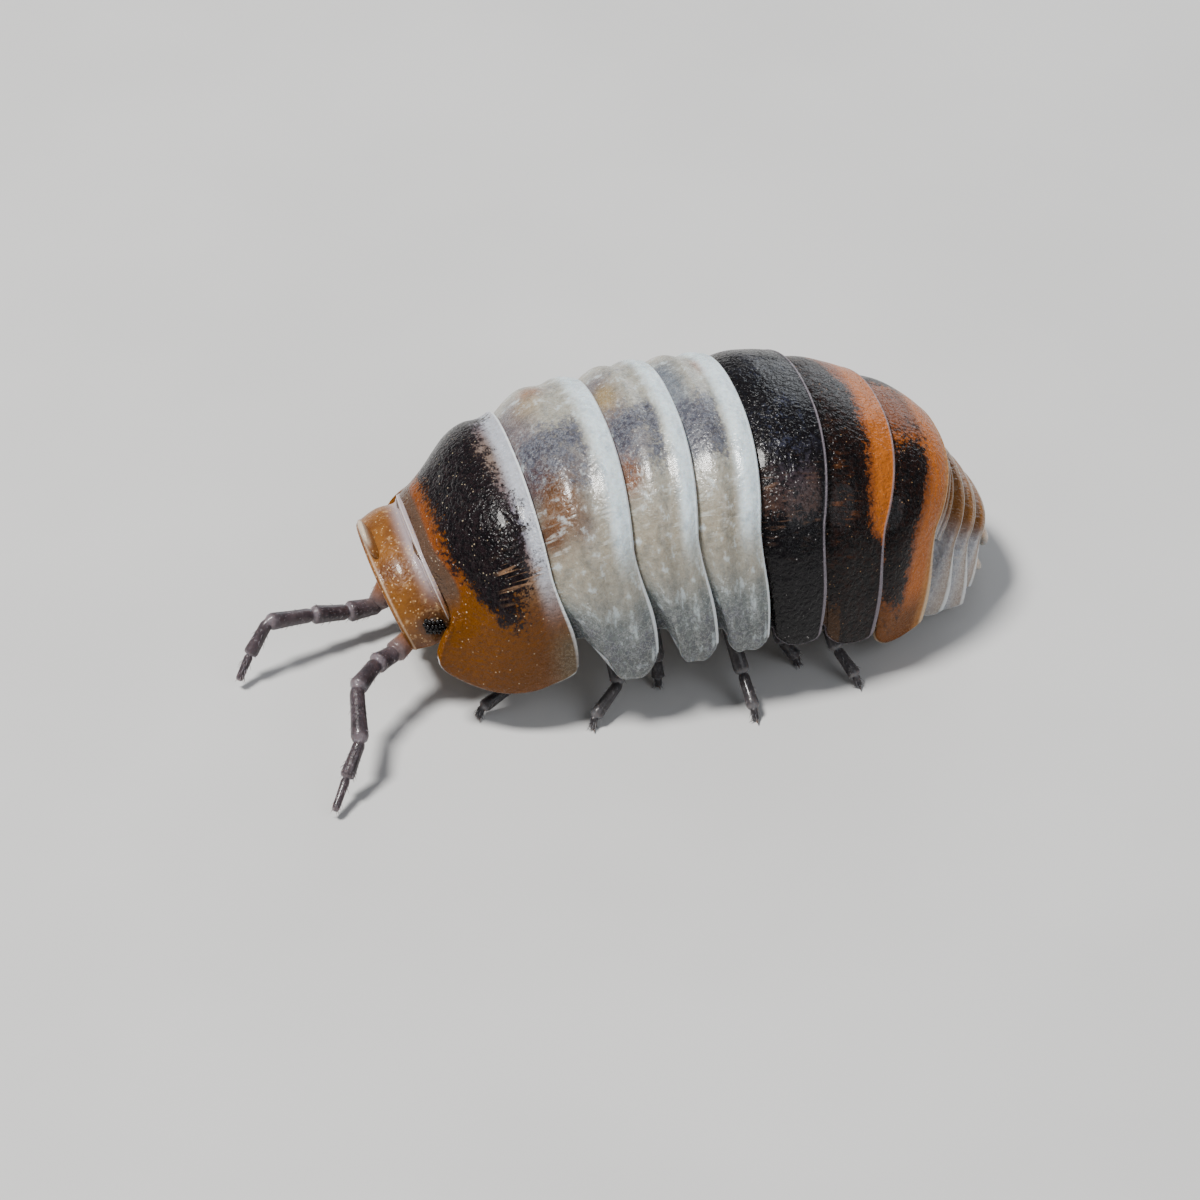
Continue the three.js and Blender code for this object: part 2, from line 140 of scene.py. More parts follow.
def spline(xs, ys, x):
    """A smooth curve through the knots, flat beyond the ends."""
    xs, ys = np.array(xs, float), np.array(ys, float)
    slopes = np.gradient(ys, xs)
    x = np.clip(x, xs[0], xs[-1])
    i = np.clip(np.searchsorted(xs, x, side="right") - 1, 0, len(xs) - 2)
    width = xs[i + 1] - xs[i]
    s = (x - xs[i]) / width
    return (
        (1 + 2 * s) * (1 - s) ** 2 * ys[i]
        + s * (1 - s) ** 2 * width * slopes[i]
        + s * s * (3 - 2 * s) * ys[i + 1]
        + s * s * (s - 1) * width * slopes[i + 1]
    )


def mix(a, b, t):
    return a + (b - a) * t


def between(a, b, t):
    return {key: mix(a[key], b[key], t) for key in a}


def arch_point(a, v, inset=0.0, drop=0.0, back=0.0):
    """Points of an arch, from its right foot at v = -1 to its left foot at v = 1."""
    angle = v * np.pi / 2
    power = 2 / ROUNDNESS
    side = np.sign(v) * (a["half_width"] - inset) * np.abs(np.sin(angle)) ** power
    out = np.clip((np.abs(v) - FLARE_FROM) / (1 - FLARE_FROM), 0, 1)
    up = (a["height"] - inset) * np.abs(np.cos(angle)) ** power - drop * ramp(np.abs(v), FLARE_FROM, 1)
    flank = np.sin(np.pi * np.clip((np.abs(v) - BOW_FROM) / (1 - BOW_FROM), 0, 1)) ** 2
    sweep = a["sweep"] * out**1.5 + a["bow"] * flank + back
    lean = np.radians(a["lean"])
    y = a["y"] - up * np.sin(lean) + sweep * np.cos(lean)
    z = a["z"] + up * np.cos(lean) + sweep * np.sin(lean)
    return np.stack(np.broadcast_arrays(side, y, z), axis=-1)


# Meshes
def new_piece(name, points, faces, material, nodes=(), fields=None, uv=None):
    """A smooth piece on the one body, with its painted fields and the nodes that it replaces."""
    mesh = bpy.data.meshes.new(name)
    mesh.from_pydata(((np.asarray(points) - ORIGIN) * MM).tolist(), [], faces)
    mesh.validate()
    for key, values in (fields or {}).items():
        values = np.asarray(values, dtype=np.float32)
        if values.ndim == 2:
            made = mesh.attributes.new(key, "FLOAT_COLOR", "POINT")
            opaque = np.ones(len(values), dtype=np.float32)
            made.data.foreach_set("color", np.c_[values, opaque].ravel())
        else:
            made = mesh.attributes.new(key, "FLOAT", "POINT")
            made.data.foreach_set("value", values)
    if uv is not None:
        layer = mesh.uv_layers.new(name="across")
        corners = np.zeros(len(mesh.loops), dtype=np.int32)
        mesh.loops.foreach_get("vertex_index", corners)
        layer.data.foreach_set("uv", np.asarray(uv, dtype=np.float32)[corners].ravel())
    mesh.polygons.foreach_set("use_smooth", [True] * len(mesh.polygons))
    piece = bpy.data.objects.new(name, mesh)
    bpy.context.scene.collection.objects.link(piece)
    mesh.materials.append(material)
    turn_out(mesh)
    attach(piece, "root")
    if nodes:
        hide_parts(*nodes)
    return piece


def turn_out(mesh):
    """Turns the faces of a closed mesh outwards."""
    count = len(mesh.vertices)
    spots = np.zeros(count * 3, dtype=np.float64)
    mesh.vertices.foreach_get("co", spots)
    spots = spots.reshape(-1, 3)
    mesh.calc_loop_triangles()
    triangles = np.zeros(len(mesh.loop_triangles) * 3, dtype=np.int32)
    mesh.loop_triangles.foreach_get("vertices", triangles)
    a, b, c = (spots[triangles.reshape(-1, 3)[:, k]] for k in range(3))
    if np.einsum("ij,ij->i", a, np.cross(b, c)).sum() < 0:
        mesh.flip_normals()


def ring_faces(rows, columns, loop_rows=False, loop_columns=False):
    """Quads over a grid of points, which may close on itself either way."""
    last_row = rows if loop_rows else rows - 1
    last_column = columns if loop_columns else columns - 1
    i, j = np.meshgrid(np.arange(last_row), np.arange(last_column), indexing="ij")
    ni, nj = (i + 1) % rows, (j + 1) % columns
    quads = np.stack([i * columns + j, i * columns + nj, ni * columns + nj, ni * columns + j], axis=-1)
    return quads.reshape(-1, 4).tolist()


def tube(rings):
    """Points and faces of a closed tube from rings of one size, with a fan on each end."""
    rows, columns = len(rings), len(rings[0])
    points = np.concatenate([np.asarray(r) for r in rings])
    faces = ring_faces(rows, columns, loop_columns=True)
    ends = [points[:columns].mean(axis=0), points[-columns:].mean(axis=0)]
    points = np.concatenate([points, ends])
    first, last = rows * columns, rows * columns + 1
    for j in range(columns):
        n = (j + 1) % columns
        faces.append([first, n, j])
        faces.append([last, (rows - 1) * columns + j, (rows - 1) * columns + n])
    return points, faces


def gather(parts):
    """Several point and face lists as one."""
    points, faces, start = [], [], 0
    for p, f in parts:
        points.append(np.asarray(p))
        faces += [[n + start for n in face] for face in f]
        start += len(p)
    return np.concatenate(points), faces


def ball(centre, radii, turn=0.0, rows=12, columns=18):
    """A closed ellipsoid, turned about X."""
    down = np.linspace(0, np.pi, rows + 1)[1:-1, None]
    around = np.linspace(0, 2 * np.pi, columns, endpoint=False)[None, :]
    unit = np.broadcast_arrays(np.sin(down) * np.cos(around), np.sin(down) * np.sin(around), np.cos(down))
    rings = np.stack(unit, axis=-1) * np.array(radii)
    c, s = math.cos(math.radians(turn)), math.sin(math.radians(turn))
    rings = rings @ np.array([[1, 0, 0], [0, c, s], [0, -s, c]]) + np.array(centre)
    return tube(list(rings))


# Materials
LIGHT_REACH = (0.5, 0.32, 0.22)  # how far light spreads under the surface, in millimetres
COAT_ROUGHNESS = 0.07
CREASE = 0.16  # half width of a crease, as a share of its texture's range


class Nodes:
    """A short way to write a procedural material."""

    def __init__(self, name):
        self.material = bpy.data.materials.new(name)
        self.material.use_nodes = True
        self.tree = self.material.node_tree
        self.shader = self.tree.nodes["Principled BSDF"]
        spot = self.add("ShaderNodeTexCoord")
        scaled = self.add("ShaderNodeVectorMath", operation="SCALE")
        scaled.inputs["Scale"].default_value = 1 / MM
        self.link(spot.outputs["Object"], scaled.inputs[0])
        self.place = scaled.outputs[0]
        self.across = spot.outputs["UV"]

    def add(self, kind, **settings):
        node = self.tree.nodes.new(kind)
        for key, value in settings.items():
            setattr(node, key, value)
        return node

    def link(self, source, target):
        if hasattr(source, "is_output"):
            self.tree.links.new(source, target)
        else:
            target.default_value = source

    def field(self, name, color=False):
        node = self.add("ShaderNodeAttribute", attribute_name=name)
        return node.outputs["Color" if color else "Fac"]

    def noise(self, scale, detail=4.0, roughness=0.55, at=None, stretch=None):
        node = self.add("ShaderNodeTexNoise")
        node.inputs["Scale"].default_value = scale
        node.inputs["Detail"].default_value = detail
        node.inputs["Roughness"].default_value = roughness
        place = at or self.place
        if stretch:
            mapping = self.add("ShaderNodeVectorMath", operation="MULTIPLY")
            mapping.inputs[1].default_value = stretch
            self.link(place, mapping.inputs[0])
            place = mapping.outputs[0]
        self.link(place, node.inputs["Vector"])
        return node.outputs["Fac"]

    def cells(self, scale):
        """Distance to the nearest of many scattered points."""
        node = self.add("ShaderNodeTexVoronoi")
        node.inputs["Scale"].default_value = scale
        self.link(self.place, node.inputs["Vector"])
        return node.outputs["Distance"]

    def math(self, operation, a, b=0.0):
        node = self.add("ShaderNodeMath", operation=operation)
        self.link(a, node.inputs[0])
        self.link(b, node.inputs[1])
        return node.outputs[0]

    def step(self, value, low, high, to_low=0.0, to_high=1.0):
        node = self.add("ShaderNodeMapRange", interpolation_type="SMOOTHSTEP")
        self.link(value, node.inputs["Value"])
        for key, number in zip(("From Min", "From Max", "To Min", "To Max"), (low, high, to_low, to_high)):
            node.inputs[key].default_value = number
        return node.outputs["Result"]

    def blend(self, factor, a, b, kind="MIX"):
        node = self.add("ShaderNodeMix", data_type="RGBA", blend_type=kind)
        self.link(factor, node.inputs["Factor"])
        for value, key in ((a, "A"), (b, "B")):
            socket = [s for s in node.inputs if s.name == key and s.type == "RGBA"][0]
            self.link(value if hasattr(value, "is_output") else (*value, 1.0), socket)
        return [s for s in node.outputs if s.type == "RGBA"][0]

    def shaded(self, color, by):
        return self.blend(1.0, color, by, "MULTIPLY")

    def winding(self, texture, low, high):
        """Winding lines, where a texture crosses its middle value."""
        away = self.math("ABSOLUTE", self.math("SUBTRACT", texture, 0.5))
        return self.step(away, low, high)

    def bump(self, heights):
        """Stacks bumps: pairs of height and its depth in millimetres."""
        normal = None
        for height, depth in heights:
            node = self.add("ShaderNodeBump")
            node.inputs["Strength"].default_value = 1.0
            node.inputs["Distance"].default_value = depth * MM
            self.link(height, node.inputs["Height"])
            if normal is not None:
                self.link(normal, node.inputs["Normal"])
            normal = node.outputs["Normal"]
        self.link(normal, self.shader.inputs["Normal"])

    def finish(self, color, roughness, depth=0.0, coat=0.0, specular=0.5, coat_roughness=0.15):
        s = self.shader.inputs
        self.link(color, s["Base Color"])
        self.link(roughness, s["Roughness"])
        s["Subsurface Weight"].default_value = depth
        s["Subsurface Radius"].default_value = LIGHT_REACH
        s["Subsurface Scale"].default_value = MM
        s["Coat Weight"].default_value = coat
        s["Coat Roughness"].default_value = coat_roughness
        s["Specular IOR Level"].default_value = specular
        return self.material


def plate_material(
    name, ink, ink_light, streak, fleck, soft=0.05, ragged=0.6, depth=0.25, roughness=0.3,
    coat=0.2, specular=0.3, relief=1.0, stroke=3.5, cloud=0.0
):
    """Cuticle: a painted ground, a ragged dark patch, streaks along the body, pale flecks and a rim.

    soft and ragged shape the patch's edge, depth is how much light enters, stroke how short the
    streaks are, relief how deep the bumps, and cloud how milky the ground.
    """
    n = Nodes(name)
    tint = n.field("tint", True)
    coarse = n.noise(1.3, 8, 0.68)
    fine = n.noise(7.0, 5, 0.6)
    grain = n.noise(18.0, 3, 0.6)
    ground = n.blend(n.step(fine, 0.3, 0.7, 0.0, 0.5), tint, n.shaded(tint, (0.62, 0.6, 0.58)))
    if cloud:
        wisps = n.noise(1.0, 5, 0.62, at=n.across, stretch=(34.0, 6.0, 1.0))
        smoke = n.math("MULTIPLY", n.step(wisps, 0.52, 0.36), cloud)
        ground = n.blend(smoke, ground, n.shaded(ground, (0.55, 0.6, 0.66)))
        milk = n.math("MULTIPLY", n.step(wisps, 0.54, 0.68), cloud)
        ground = n.blend(milk, ground, rgb(214, 226, 230))
        blotches = n.math("MULTIPLY", n.step(n.noise(1.9, 3, 0.6), 0.56, 0.66), 0.45 * cloud)
        ground = n.blend(blotches, ground, n.shaded(ground, (0.6, 0.56, 0.54)))
    edge = n.field("ink")
    for texture, amount in ((coarse, ragged), (fine, ragged), (grain, ragged * 0.7)):
        edge = n.math("ADD", edge, n.math("MULTIPLY", n.math("SUBTRACT", texture, 0.5), amount))
    dark = n.step(edge, 0.5 - soft, 0.5 + soft)
    ink_color = n.blend(n.step(fine, 0.38, 0.68), ink, ink_light)
    color = n.blend(dark, ground, ink_color)
    lines = n.noise(1.0, 3, 0.5, at=n.across, stretch=(105.0, stroke, 1.0))
    lines = n.math("MULTIPLY", n.step(lines, 0.53, 0.64), n.step(coarse, 0.42, 0.58))
    lines = n.math("MULTIPLY", lines, n.field("streak"))
    color = n.blend(lines, color, streak)
    threads = n.winding(n.noise(5.2, 6, 0.68), 0.03, 0.0)
    color = n.blend(n.math("MULTIPLY", threads, n.field("web")), color, fleck)
    near = n.step(n.cells(5.5), 0.16, 0.05)
    keep = n.step(n.noise(3.1, 2, 0.5), 0.4, 0.6)
    flecks = n.math("MULTIPLY", n.math("MULTIPLY", near, keep), n.field("fleck"))
    color = n.blend(flecks, color, fleck)
    color = n.blend(n.field("rim"), color, n.field("rim_tint", True))
    swell = n.noise(1.6, 2, 0.5)
    wrinkle = n.winding(n.noise(4.6, 2, 0.5), 0.0, CREASE)
    pores = n.noise(9.0, 1, 0.5)
    n.bump([(swell, 0.06 * relief), (wrinkle, 0.013 * relief), (pores, 0.008 * relief)])
    rough = n.step(grain, 0.4, 0.62, roughness - 0.08, roughness + 0.14)
    return n.finish(color, rough, depth, coat, specular, COAT_ROUGHNESS)


# The four colours of a plate are the patch, its lighter parts, the streaks and the flecks.
DARK_PLATE = plate_material(
    "cuticle_dark", rgb(4, 3, 5), rgb(14, 10, 14), rgb(112, 84, 66), rgb(190, 184, 182),
    depth=0.02, coat=0.13, specular=0.2, relief=1.4, roughness=0.26
)
FIRST_PLATE = plate_material(
    "cuticle_first", rgb(5, 3, 6), rgb(28, 17, 20), rgb(146, 112, 84), rgb(214, 196, 164),
    soft=0.13, depth=0.12, coat=0.1, specular=0.18, ragged=0.95, relief=1.2, stroke=1.6
)
MILK_PLATE = plate_material(
    "cuticle_milk", rgb(58, 57, 68), rgb(98, 100, 110), rgb(222, 226, 222), rgb(240, 242, 240),
    soft=0.24, ragged=1.0, coat=0.16, specular=0.4, relief=0.5, cloud=0.55
)
ORANGE_PLATE = plate_material(
    "cuticle_orange", rgb(5, 3, 4), rgb(30, 13, 8), rgb(158, 92, 40), rgb(214, 168, 118),
    soft=0.16, depth=0.08, coat=0.1, specular=0.18, ragged=1.0, relief=1.2
)
GLASS_PLATE = plate_material(
    "cuticle_glassy", rgb(104, 74, 46), rgb(138, 106, 74), rgb(215, 205, 190), rgb(235, 232, 226),
    soft=0.3, depth=0.3
)


def smooth_material(
    name, base, dark, pale, scale, depth=0.3, roughness=0.35, coat=0.3, bump=0.03, flecks=0.0
):
    """Skin or horn: two tones by noise, an optional painted tint, pale flecks and a fine relief."""
    n = Nodes(name)
    coarse, fine = n.noise(scale, 6, 0.6), n.noise(scale * 5, 4, 0.55)
    color = n.blend(n.step(coarse, 0.35, 0.68), base, dark)
    color = n.blend(n.step(fine, 0.55, 0.75, 0.0, 0.5), color, pale)
    color = n.blend(n.field("own"), color, n.field("tint", True))
    if flecks:
        near = n.step(n.cells(scale * 7), 0.24, 0.08)
        color = n.blend(n.math("MULTIPLY", near, flecks), color, pale)
    ridges = n.winding(n.noise(4.5, 2, 0.5), 0.0, CREASE)
    n.bump([(n.noise(scale, 1, 0.5), bump), (ridges, bump * 0.4)])
    rough = n.step(fine, 0.3, 0.7, roughness, roughness + 0.15)
    return n.finish(color, rough, depth, coat, specular=0.3, coat_roughness=0.08)


HEAD_SKIN = smooth_material(
    "cuticle_head", rgb(130, 82, 28), rgb(100, 56, 14), rgb(212, 176, 128), 1.1,
    depth=0.15, coat=0.2, bump=0.02, flecks=0.95
)
FEELER_SKIN = smooth_material(
    "cuticle_feeler", rgb(72, 61, 66), rgb(46, 39, 43), rgb(132, 122, 128), 2.4, bump=0.02
)
# The legs' greys are darkened as painted shade: they stand for the shadow under the body as well as the legs'
# own dark grey.
LEG_SKIN = smooth_material(
    "cuticle_leg", rgb(64, 60, 62), rgb(42, 39, 42), rgb(132, 130, 132), 2.4, depth=0.35, bump=0.02
)
FLESH = smooth_material(
    "belly_skin", rgb(186, 176, 160), rgb(150, 138, 124), rgb(214, 208, 196), 1.4,
    depth=0.4, roughness=0.45, coat=0.1
)
LENS = smooth_material(
    "lens_black", rgb(5, 4, 5), rgb(9, 7, 8), rgb(20, 16, 18), 6.0,
    depth=0.0, roughness=0.2, bump=0.004
)

# Colours painted on the plates
AMBER = rgb(106, 60, 4)
RUST = rgb(126, 66, 22)
# painted highlight in pale tan, on the first plate's flank
PAINTED_HIGHLIGHT_TAN = rgb(136, 104, 68)
ORANGE = rgb(178, 98, 30)
BAND = rgb(184, 188, 198)
WHITE = rgb(224, 240, 247)
CREAM = rgb(164, 161, 149)
BLUE_GREY = rgb(92, 102, 118)
PURPLE = rgb(100, 88, 98)
SIDE_GREY = rgb(120, 126, 124)
# painted highlight: the bluish sheen where light falls on the top of the fifth plate
PAINTED_SHEEN = rgb(50, 54, 72)
BLACK = rgb(10, 7, 11)
RIM = rgb(232, 236, 238)
RIM_GREY = rgb(132, 124, 132)
RIM_CREAM = rgb(212, 190, 160)


def over(ground, color, weight):
    """Paints a colour over a ground by a weight for each point."""
    return ground + (np.asarray(color) - ground) * np.clip(weight, 0, 1)[:, None]


def even(color, points):
    """One colour for each point."""
    return np.tile(color, (len(points), 1))


def rimmed(color, t, s, rear, foot=(0.992, 0.996), weight=0.8):
    """The fields of a rim along a plate's rear edge and feet."""
    return dict(rim=np.maximum(ramp(t, *rear), ramp(s, *foot)) * weight, rim_tint=even(color, t))


# A paint gives a plate's fields. t runs from the front edge to the rear one, v across as in
# arch_point, and s is the share of the way down either side.
def first_paint(t, v):
    s = np.abs(v)
    tint = even(AMBER, t)
    tint = over(tint, RUST, ramp(t, 0.2, 0.02) * ramp(s, 0.62, 0.4))
    # painted highlight: a pale tan zone down the flank, towards the rear
    tint = over(tint, PAINTED_HIGHLIGHT_TAN, ramp(s, 0.74, 0.6) * ramp(t, 0.45, 0.75) * 0.9)
    tint = over(tint, rgb(126, 108, 96), ramp(s, 0.35, 0.1) * ramp(t, 0.5, 0.62))
    tint = over(tint, rgb(98, 90, 104), ramp(t, 0.55, 0.72) * hill(s, 0.34, 0.22))
    tint = over(tint, BAND, ramp(t, 0.76, 0.9) * ramp(s, 0.84, 0.5))
    tint = over(tint, rgb(92, 78, 58), ramp(t, 0.72, 0.95) * ramp(s, 0.76, 0.88) * 0.9)
    tint = over(tint, rgb(84, 68, 56), ramp(t, 0.04, 0.01) * ramp(s, 0.7, 0.5) * 0.9)
    down = [0, 0.2, 0.4, 0.55, 0.65, 0.78]
    front = spline(down, [0.1, 0.11, 0.07, 0.14, 0.25, 0.5], s)
    rear = spline(down, [0.66, 0.74, 0.82, 0.76, 0.62, 0.48], s)
    inside = np.minimum(np.minimum(t - front, (rear + 0.04 - t) * 0.5), (0.74 - s) * 1.2)
    return dict(
        tint=tint,
        ink=np.clip(0.5 + inside * 3.2, -0.6, 1.3),
        streak=hill(s, 0.56, 0.1) * ramp(t, 0.35, 0.5) * ramp(t, 0.95, 0.85),
        fleck=0.25 + 0.5 * ramp(t, 0.85, 0.8),
        web=0.18 * ramp(t, 0.7, 0.9) * ramp(s, 0.78, 0.9),
        rim=np.maximum(ramp(t, 0.985, 0.994) * ramp(s, 1.1, 0.7), ramp(s, 0.99, 0.996) * 0.7),
        rim_tint=even(RIM, t),
    )


def milk_paint(band_from, spots, mottle, front_tint):
    """A milky plate with a white band, a mottle and spots of t, v, size, colour and weight."""

    def painted(t, v):
        s = np.abs(v)
        tint = even(CREAM, t)
        tint = over(tint, front_tint, ramp(t, 0.45, 0.15) * ramp(s, 0.38, 0.2) * 0.8)
        tint = over(tint, rgb(163, 154, 136), hill(s, 0.56, 0.16) * ramp(t, 0.95, 0.7) * 0.8)
        tint = over(tint, SIDE_GREY, ramp(s, 0.72, 0.84))
        tint = over(tint, rgb(78, 82, 82), ramp(s, 0.84, 0.95) * 0.6)
        clear = np.zeros(len(t))
        for at_t, at_v, size, color, weight in spots:
            spot = np.clip(1.4 * hill(t, at_t, size) * hill(v, at_v, size * 0.55), 0, 1) * weight
            tint = over(tint, color, spot)
            clear = np.maximum(clear, spot)
        tint = over(tint, WHITE, ramp(t, band_from - 0.08, band_from + 0.08) * ramp(s, 0.74, 0.5))
        inside = np.minimum(ramp(t, 0.0, 0.1), ramp(t, band_from + 0.02, band_from - 0.12))
        inside = inside * ramp(s, 0.42, 0.18)
        inside = inside * np.maximum(ramp(v, -0.1, 0.06), 0.75 * ramp(-v, 0.1, 0.3))
        side = ramp(s, 0.76, 0.88) * 0.38
        return dict(
            tint=tint,
            ink=np.clip(inside * mottle * (1 - 0.5 * clear) + side, 0, 1),
            web=ramp(s, 0.7, 0.85) * 0.25 + 0.16 * ramp(s, 0.5, 0.2),
            streak=hill(s, 0.48, 0.14) * 0.5,
            fleck=np.full(len(t), 0.35),
            **rimmed(RIM, t, s, (0.982, 0.992), (0.993, 0.997), 0.85),
        )

    return painted


def black_paint(t, v):
    s = np.abs(v)
    tint = even(BLACK, t)
    tint = over(tint, rgb(60, 42, 34), hill(s, 0.5, 0.16) * ramp(t, 0.95, 0.8))
    # painted highlight: a bluish sheen over the top middle of the plate
    tint = over(tint, PAINTED_SHEEN, hill(t, 0.5, 0.34) * hill(v, 0.12, 0.3) * 0.9)
    tint = over(tint, rgb(64, 52, 46), ramp(t, 0.78, 0.95) * ramp(s, 0.84, 0.95) * 0.7)
    return dict(
        tint=tint,
        ink=0.56 + 0.2 * hill(s, 0.75, 0.2) - 0.14 * hill(s, 0.5, 0.12) + 0.1 * ramp(s, 0.1, 0.0),
        streak=0.75 * hill(s, 0.5, 0.13) * ramp(t, 0.95, 0.85),
        fleck=np.full(len(t), 0.55),
        **rimmed(RIM_GREY, t, s, (0.965, 0.976)),
    )


def sixth_paint(t, v):
    s = np.abs(v)
    tint = even(ORANGE, t)
    tint = over(tint, rgb(104, 60, 36), ramp(-v, 0.02, 0.25) * ramp(t, 0.7, 0.5))
    tint = over(tint, rgb(66, 40, 16), ramp(t, 0.7, 0.5) * ramp(s, 0.8, 0.9))
    border = spline([0, 0.3, 0.5, 0.62, 0.7, 1.0], [0.58, 0.6, 0.66, 0.78, 1.1, 1.3], s)
    tint = over(tint, rgb(112, 58, 26), ramp(t, border + 0.14, border + 0.02) * ramp(s, 0.82, 0.72) * 0.75)
    ink = 0.5 + (border - t) * 2.6
    ink = ink - 0.6 * ramp(-v, 0.0, 0.3) * ramp(t, 0.2, 0.5)
    ink = np.minimum(ink, 0.5 + (0.9 - s) * 6 + 2.0 * ramp(t, 0.3, 0.5))
    return dict(
        tint=tint,
        ink=np.clip(ink, -0.6, 1.2),
        streak=0.25 * hill(s, 0.5, 0.2) * ramp(t, 0.6, 0.4),
        fleck=0.4 + 0.5 * hill(s, 0.5, 0.25) * hill(t, 0.55, 0.15),
        **rimmed(RIM_GREY, t, s, (0.968, 0.98)),
    )


def seventh_paint(t, v):
    s = np.abs(v)
    tint = even(ORANGE, t)
    tint = over(tint, rgb(108, 58, 26), ramp(s, 0.26, 0.08) * ramp(t, 0.62, 0.4))
    tint = over(tint, rgb(112, 58, 26), ramp(t, 0.7, 0.54) * ramp(s, 0.2, 0.3) * 0.8)
    tint = over(tint, rgb(112, 64, 16), ramp(s, 0.82, 0.93))
    tint = over(tint, rgb(184, 128, 72), ramp(t, 0.86, 0.97) * 0.7)
    inside = np.minimum(np.minimum(t - 0.04, 0.54 - t), np.minimum((s - 0.14) * 0.7, (0.88 - s) * 0.9))
    return dict(
        tint=tint,
        ink=np.clip(0.5 + inside * 3.4, -0.6, 1.2),
        streak=0.2 * ramp(t, 0.5, 0.7),
        fleck=np.full(len(t), 0.45),
        **rimmed(RIM_CREAM, t, s, (0.975, 0.988)),
    )


def tail_paint(t, v):
    s = np.abs(v)
    tint = even(rgb(166, 168, 174), t)
    tint = over(tint, rgb(140, 92, 40), ramp(s, 0.7, 0.4))
    tint = over(tint, rgb(176, 148, 112), ramp(t, 0.6, 0.95) * 0.45)
    return dict(
        tint=tint,
        ink=0.42 * ramp(t, 0.6, 0.2) * ramp(s, 0.7, 0.4),
        web=0.3 * ramp(s, 0.5, 0.7),
        streak=0.3 * ramp(t, 0.9, 0.5),
        fleck=np.full(len(t), 0.25),
        **rimmed(RIM, t, s, (0.965, 0.985), (0.985, 0.993), 0.7),
    )


# Plates
PLATE_ROWS = 46
PLATE_COLUMNS = 181
INNER_ROWS = 12
LIP_ROWS = 5
END_FROM = 0.97  # share of the way down where a plate's end starts to close
CORNER_FROM = 0.8
CORNER = 0.14  # how far the rear corners are rounded off
FIRST_CORNER = 0.08
TUCK = 0.4  # how far a plate goes on under the one before it
FIRST_TUCK = 0.32
# Shares of the way to the rear edge, with the depth under the outline and the thickness there.
MIDDLE_SHARES = [0, 0.16, 0.38, 0.64, 0.8, 1]
MIDDLE_THICKS = [0.3, 0.42, 0.46, 0.45, 0.36, 0.08]
SHAPES = {
    "first": (
        [0, 0.15, 0.4, 0.65, 0.84, 1],
        [0.05, -0.1, -0.38, -0.32, -0.08, 0.02],
        [0.34, 0.45, 0.5, 0.45, 0.3, 0.08],
    ),
    "smooth": (MIDDLE_SHARES, [0.26, 0.13, 0.02, 0.0, 0.0, 0.02], MIDDLE_THICKS),
    "thorax": (MIDDLE_SHARES, [0.26, 0.13, 0.0, 0.09, -0.02, 0.02], MIDDLE_THICKS),
    "tail": ([0, 0.3, 0.65, 1], [0.26, 0.18, 0.02, 0.02], [0.24, 0.26, 0.26, 0.08]),
}


def plate(
    node, shape, front, rear, lobe, notch, paint, material, slot,
    bulge=0.0, follow=1.0, reach=1.0, tuck=0.0, rounding=CORNER
):
    """One armour plate as a closed shell: outer side, rounded rear lip, inner side.

    lobe and notch shape its lower edge, bulge lifts its middle, follow is its share of the front
    arch's sweep, and reach how far down the sides it goes.
    """
    knots, depths, thicks = SHAPES[shape]
    start = {**front, "sweep": front["sweep"] * follow}
    u = np.linspace(0, 1, PLATE_ROWS)
    outer_t = mix(u, (1 - np.cos(np.pi * u)) / 2, 0.6)
    inner_t = np.linspace(1, 0, INNER_ROWS)
    rows = [(t, 0.0, 0.0) for t in outer_t]
    for k in range(1, LIP_ROWS):
        turn = math.pi * k / LIP_ROWS
        rows.append((1.0, (1 - math.cos(turn)) / 2, math.sin(turn)))
    rows += [(t, 1.0, 0.0) for t in inner_t]
    if tuck:
        rows = [(0.0, 0.0, -1.0), *rows, (0.0, 1.0, -1.0)]
    t, through, out = (column[:, None] for column in np.array(rows).T)
    w = np.linspace(-1, 1, PLATE_COLUMNS)[None, :]
    v = reach * (w + 0.75 * np.sin(np.pi * w) / np.pi)
    share = np.abs(v) / reach
    thick = spline(knots, thicks, t)
    closing = np.clip((share - END_FROM) / (1 - END_FROM), 0, 1)
    half = thick / 2 * np.sqrt(np.clip(1 - closing**2, 0.0004, 1))
    depth = spline(knots, depths, t) - bulge * np.sin(np.pi * t) ** 0.7
    bead = 0.022 * hill(t, 0.985, 0.012) + 0.02 * hill(share, 0.988, 0.006)
    inset = depth - bead * (1 - through) + thick / 2 + half * (2 * through - 1)
    flange, sink = -tuck, 0.1
    if shape == "first":
        flange, sink = -tuck * ramp(share, 0.8, 0.5), 0.25 * ramp(share, 0.8, 0.5)
    back = np.where(out < 0, flange, thick / 2 * out * 0.8)
    inset = inset + np.where(out < 0, sink, 0)
    passed = (t - notch) / (1 - notch)
    round_lobe = lobe * np.sqrt(np.clip(1 - (2 * passed - 1) ** 2, 0, 1))
    drop = np.where(passed > 0, round_lobe, lobe * passed * (1 - notch) / 0.3)
    corner = np.clip((share - CORNER_FROM) / (1 - CORNER_FROM), 0, 1) ** 2 * rounding * (reach == 1)
    points = arch_point(between(start, rear, t * (1 - corner)), v, inset, drop, back)
    faces = ring_faces(len(rows), PLATE_COLUMNS, loop_rows=True)
    for j in (0, PLATE_COLUMNS - 1):
        faces += end_strip(len(rows), PLATE_COLUMNS, j)
    t, v = (np.broadcast_to(grid, points.shape[:2]).ravel() for grid in (t, v))
    uv = np.stack([v * 0.5 + 0.5, t], axis=-1)
    points = points.reshape(-1, 3)
    new_piece(node + "_cuticle", points, faces, material, [node], paint(t, v), uv)


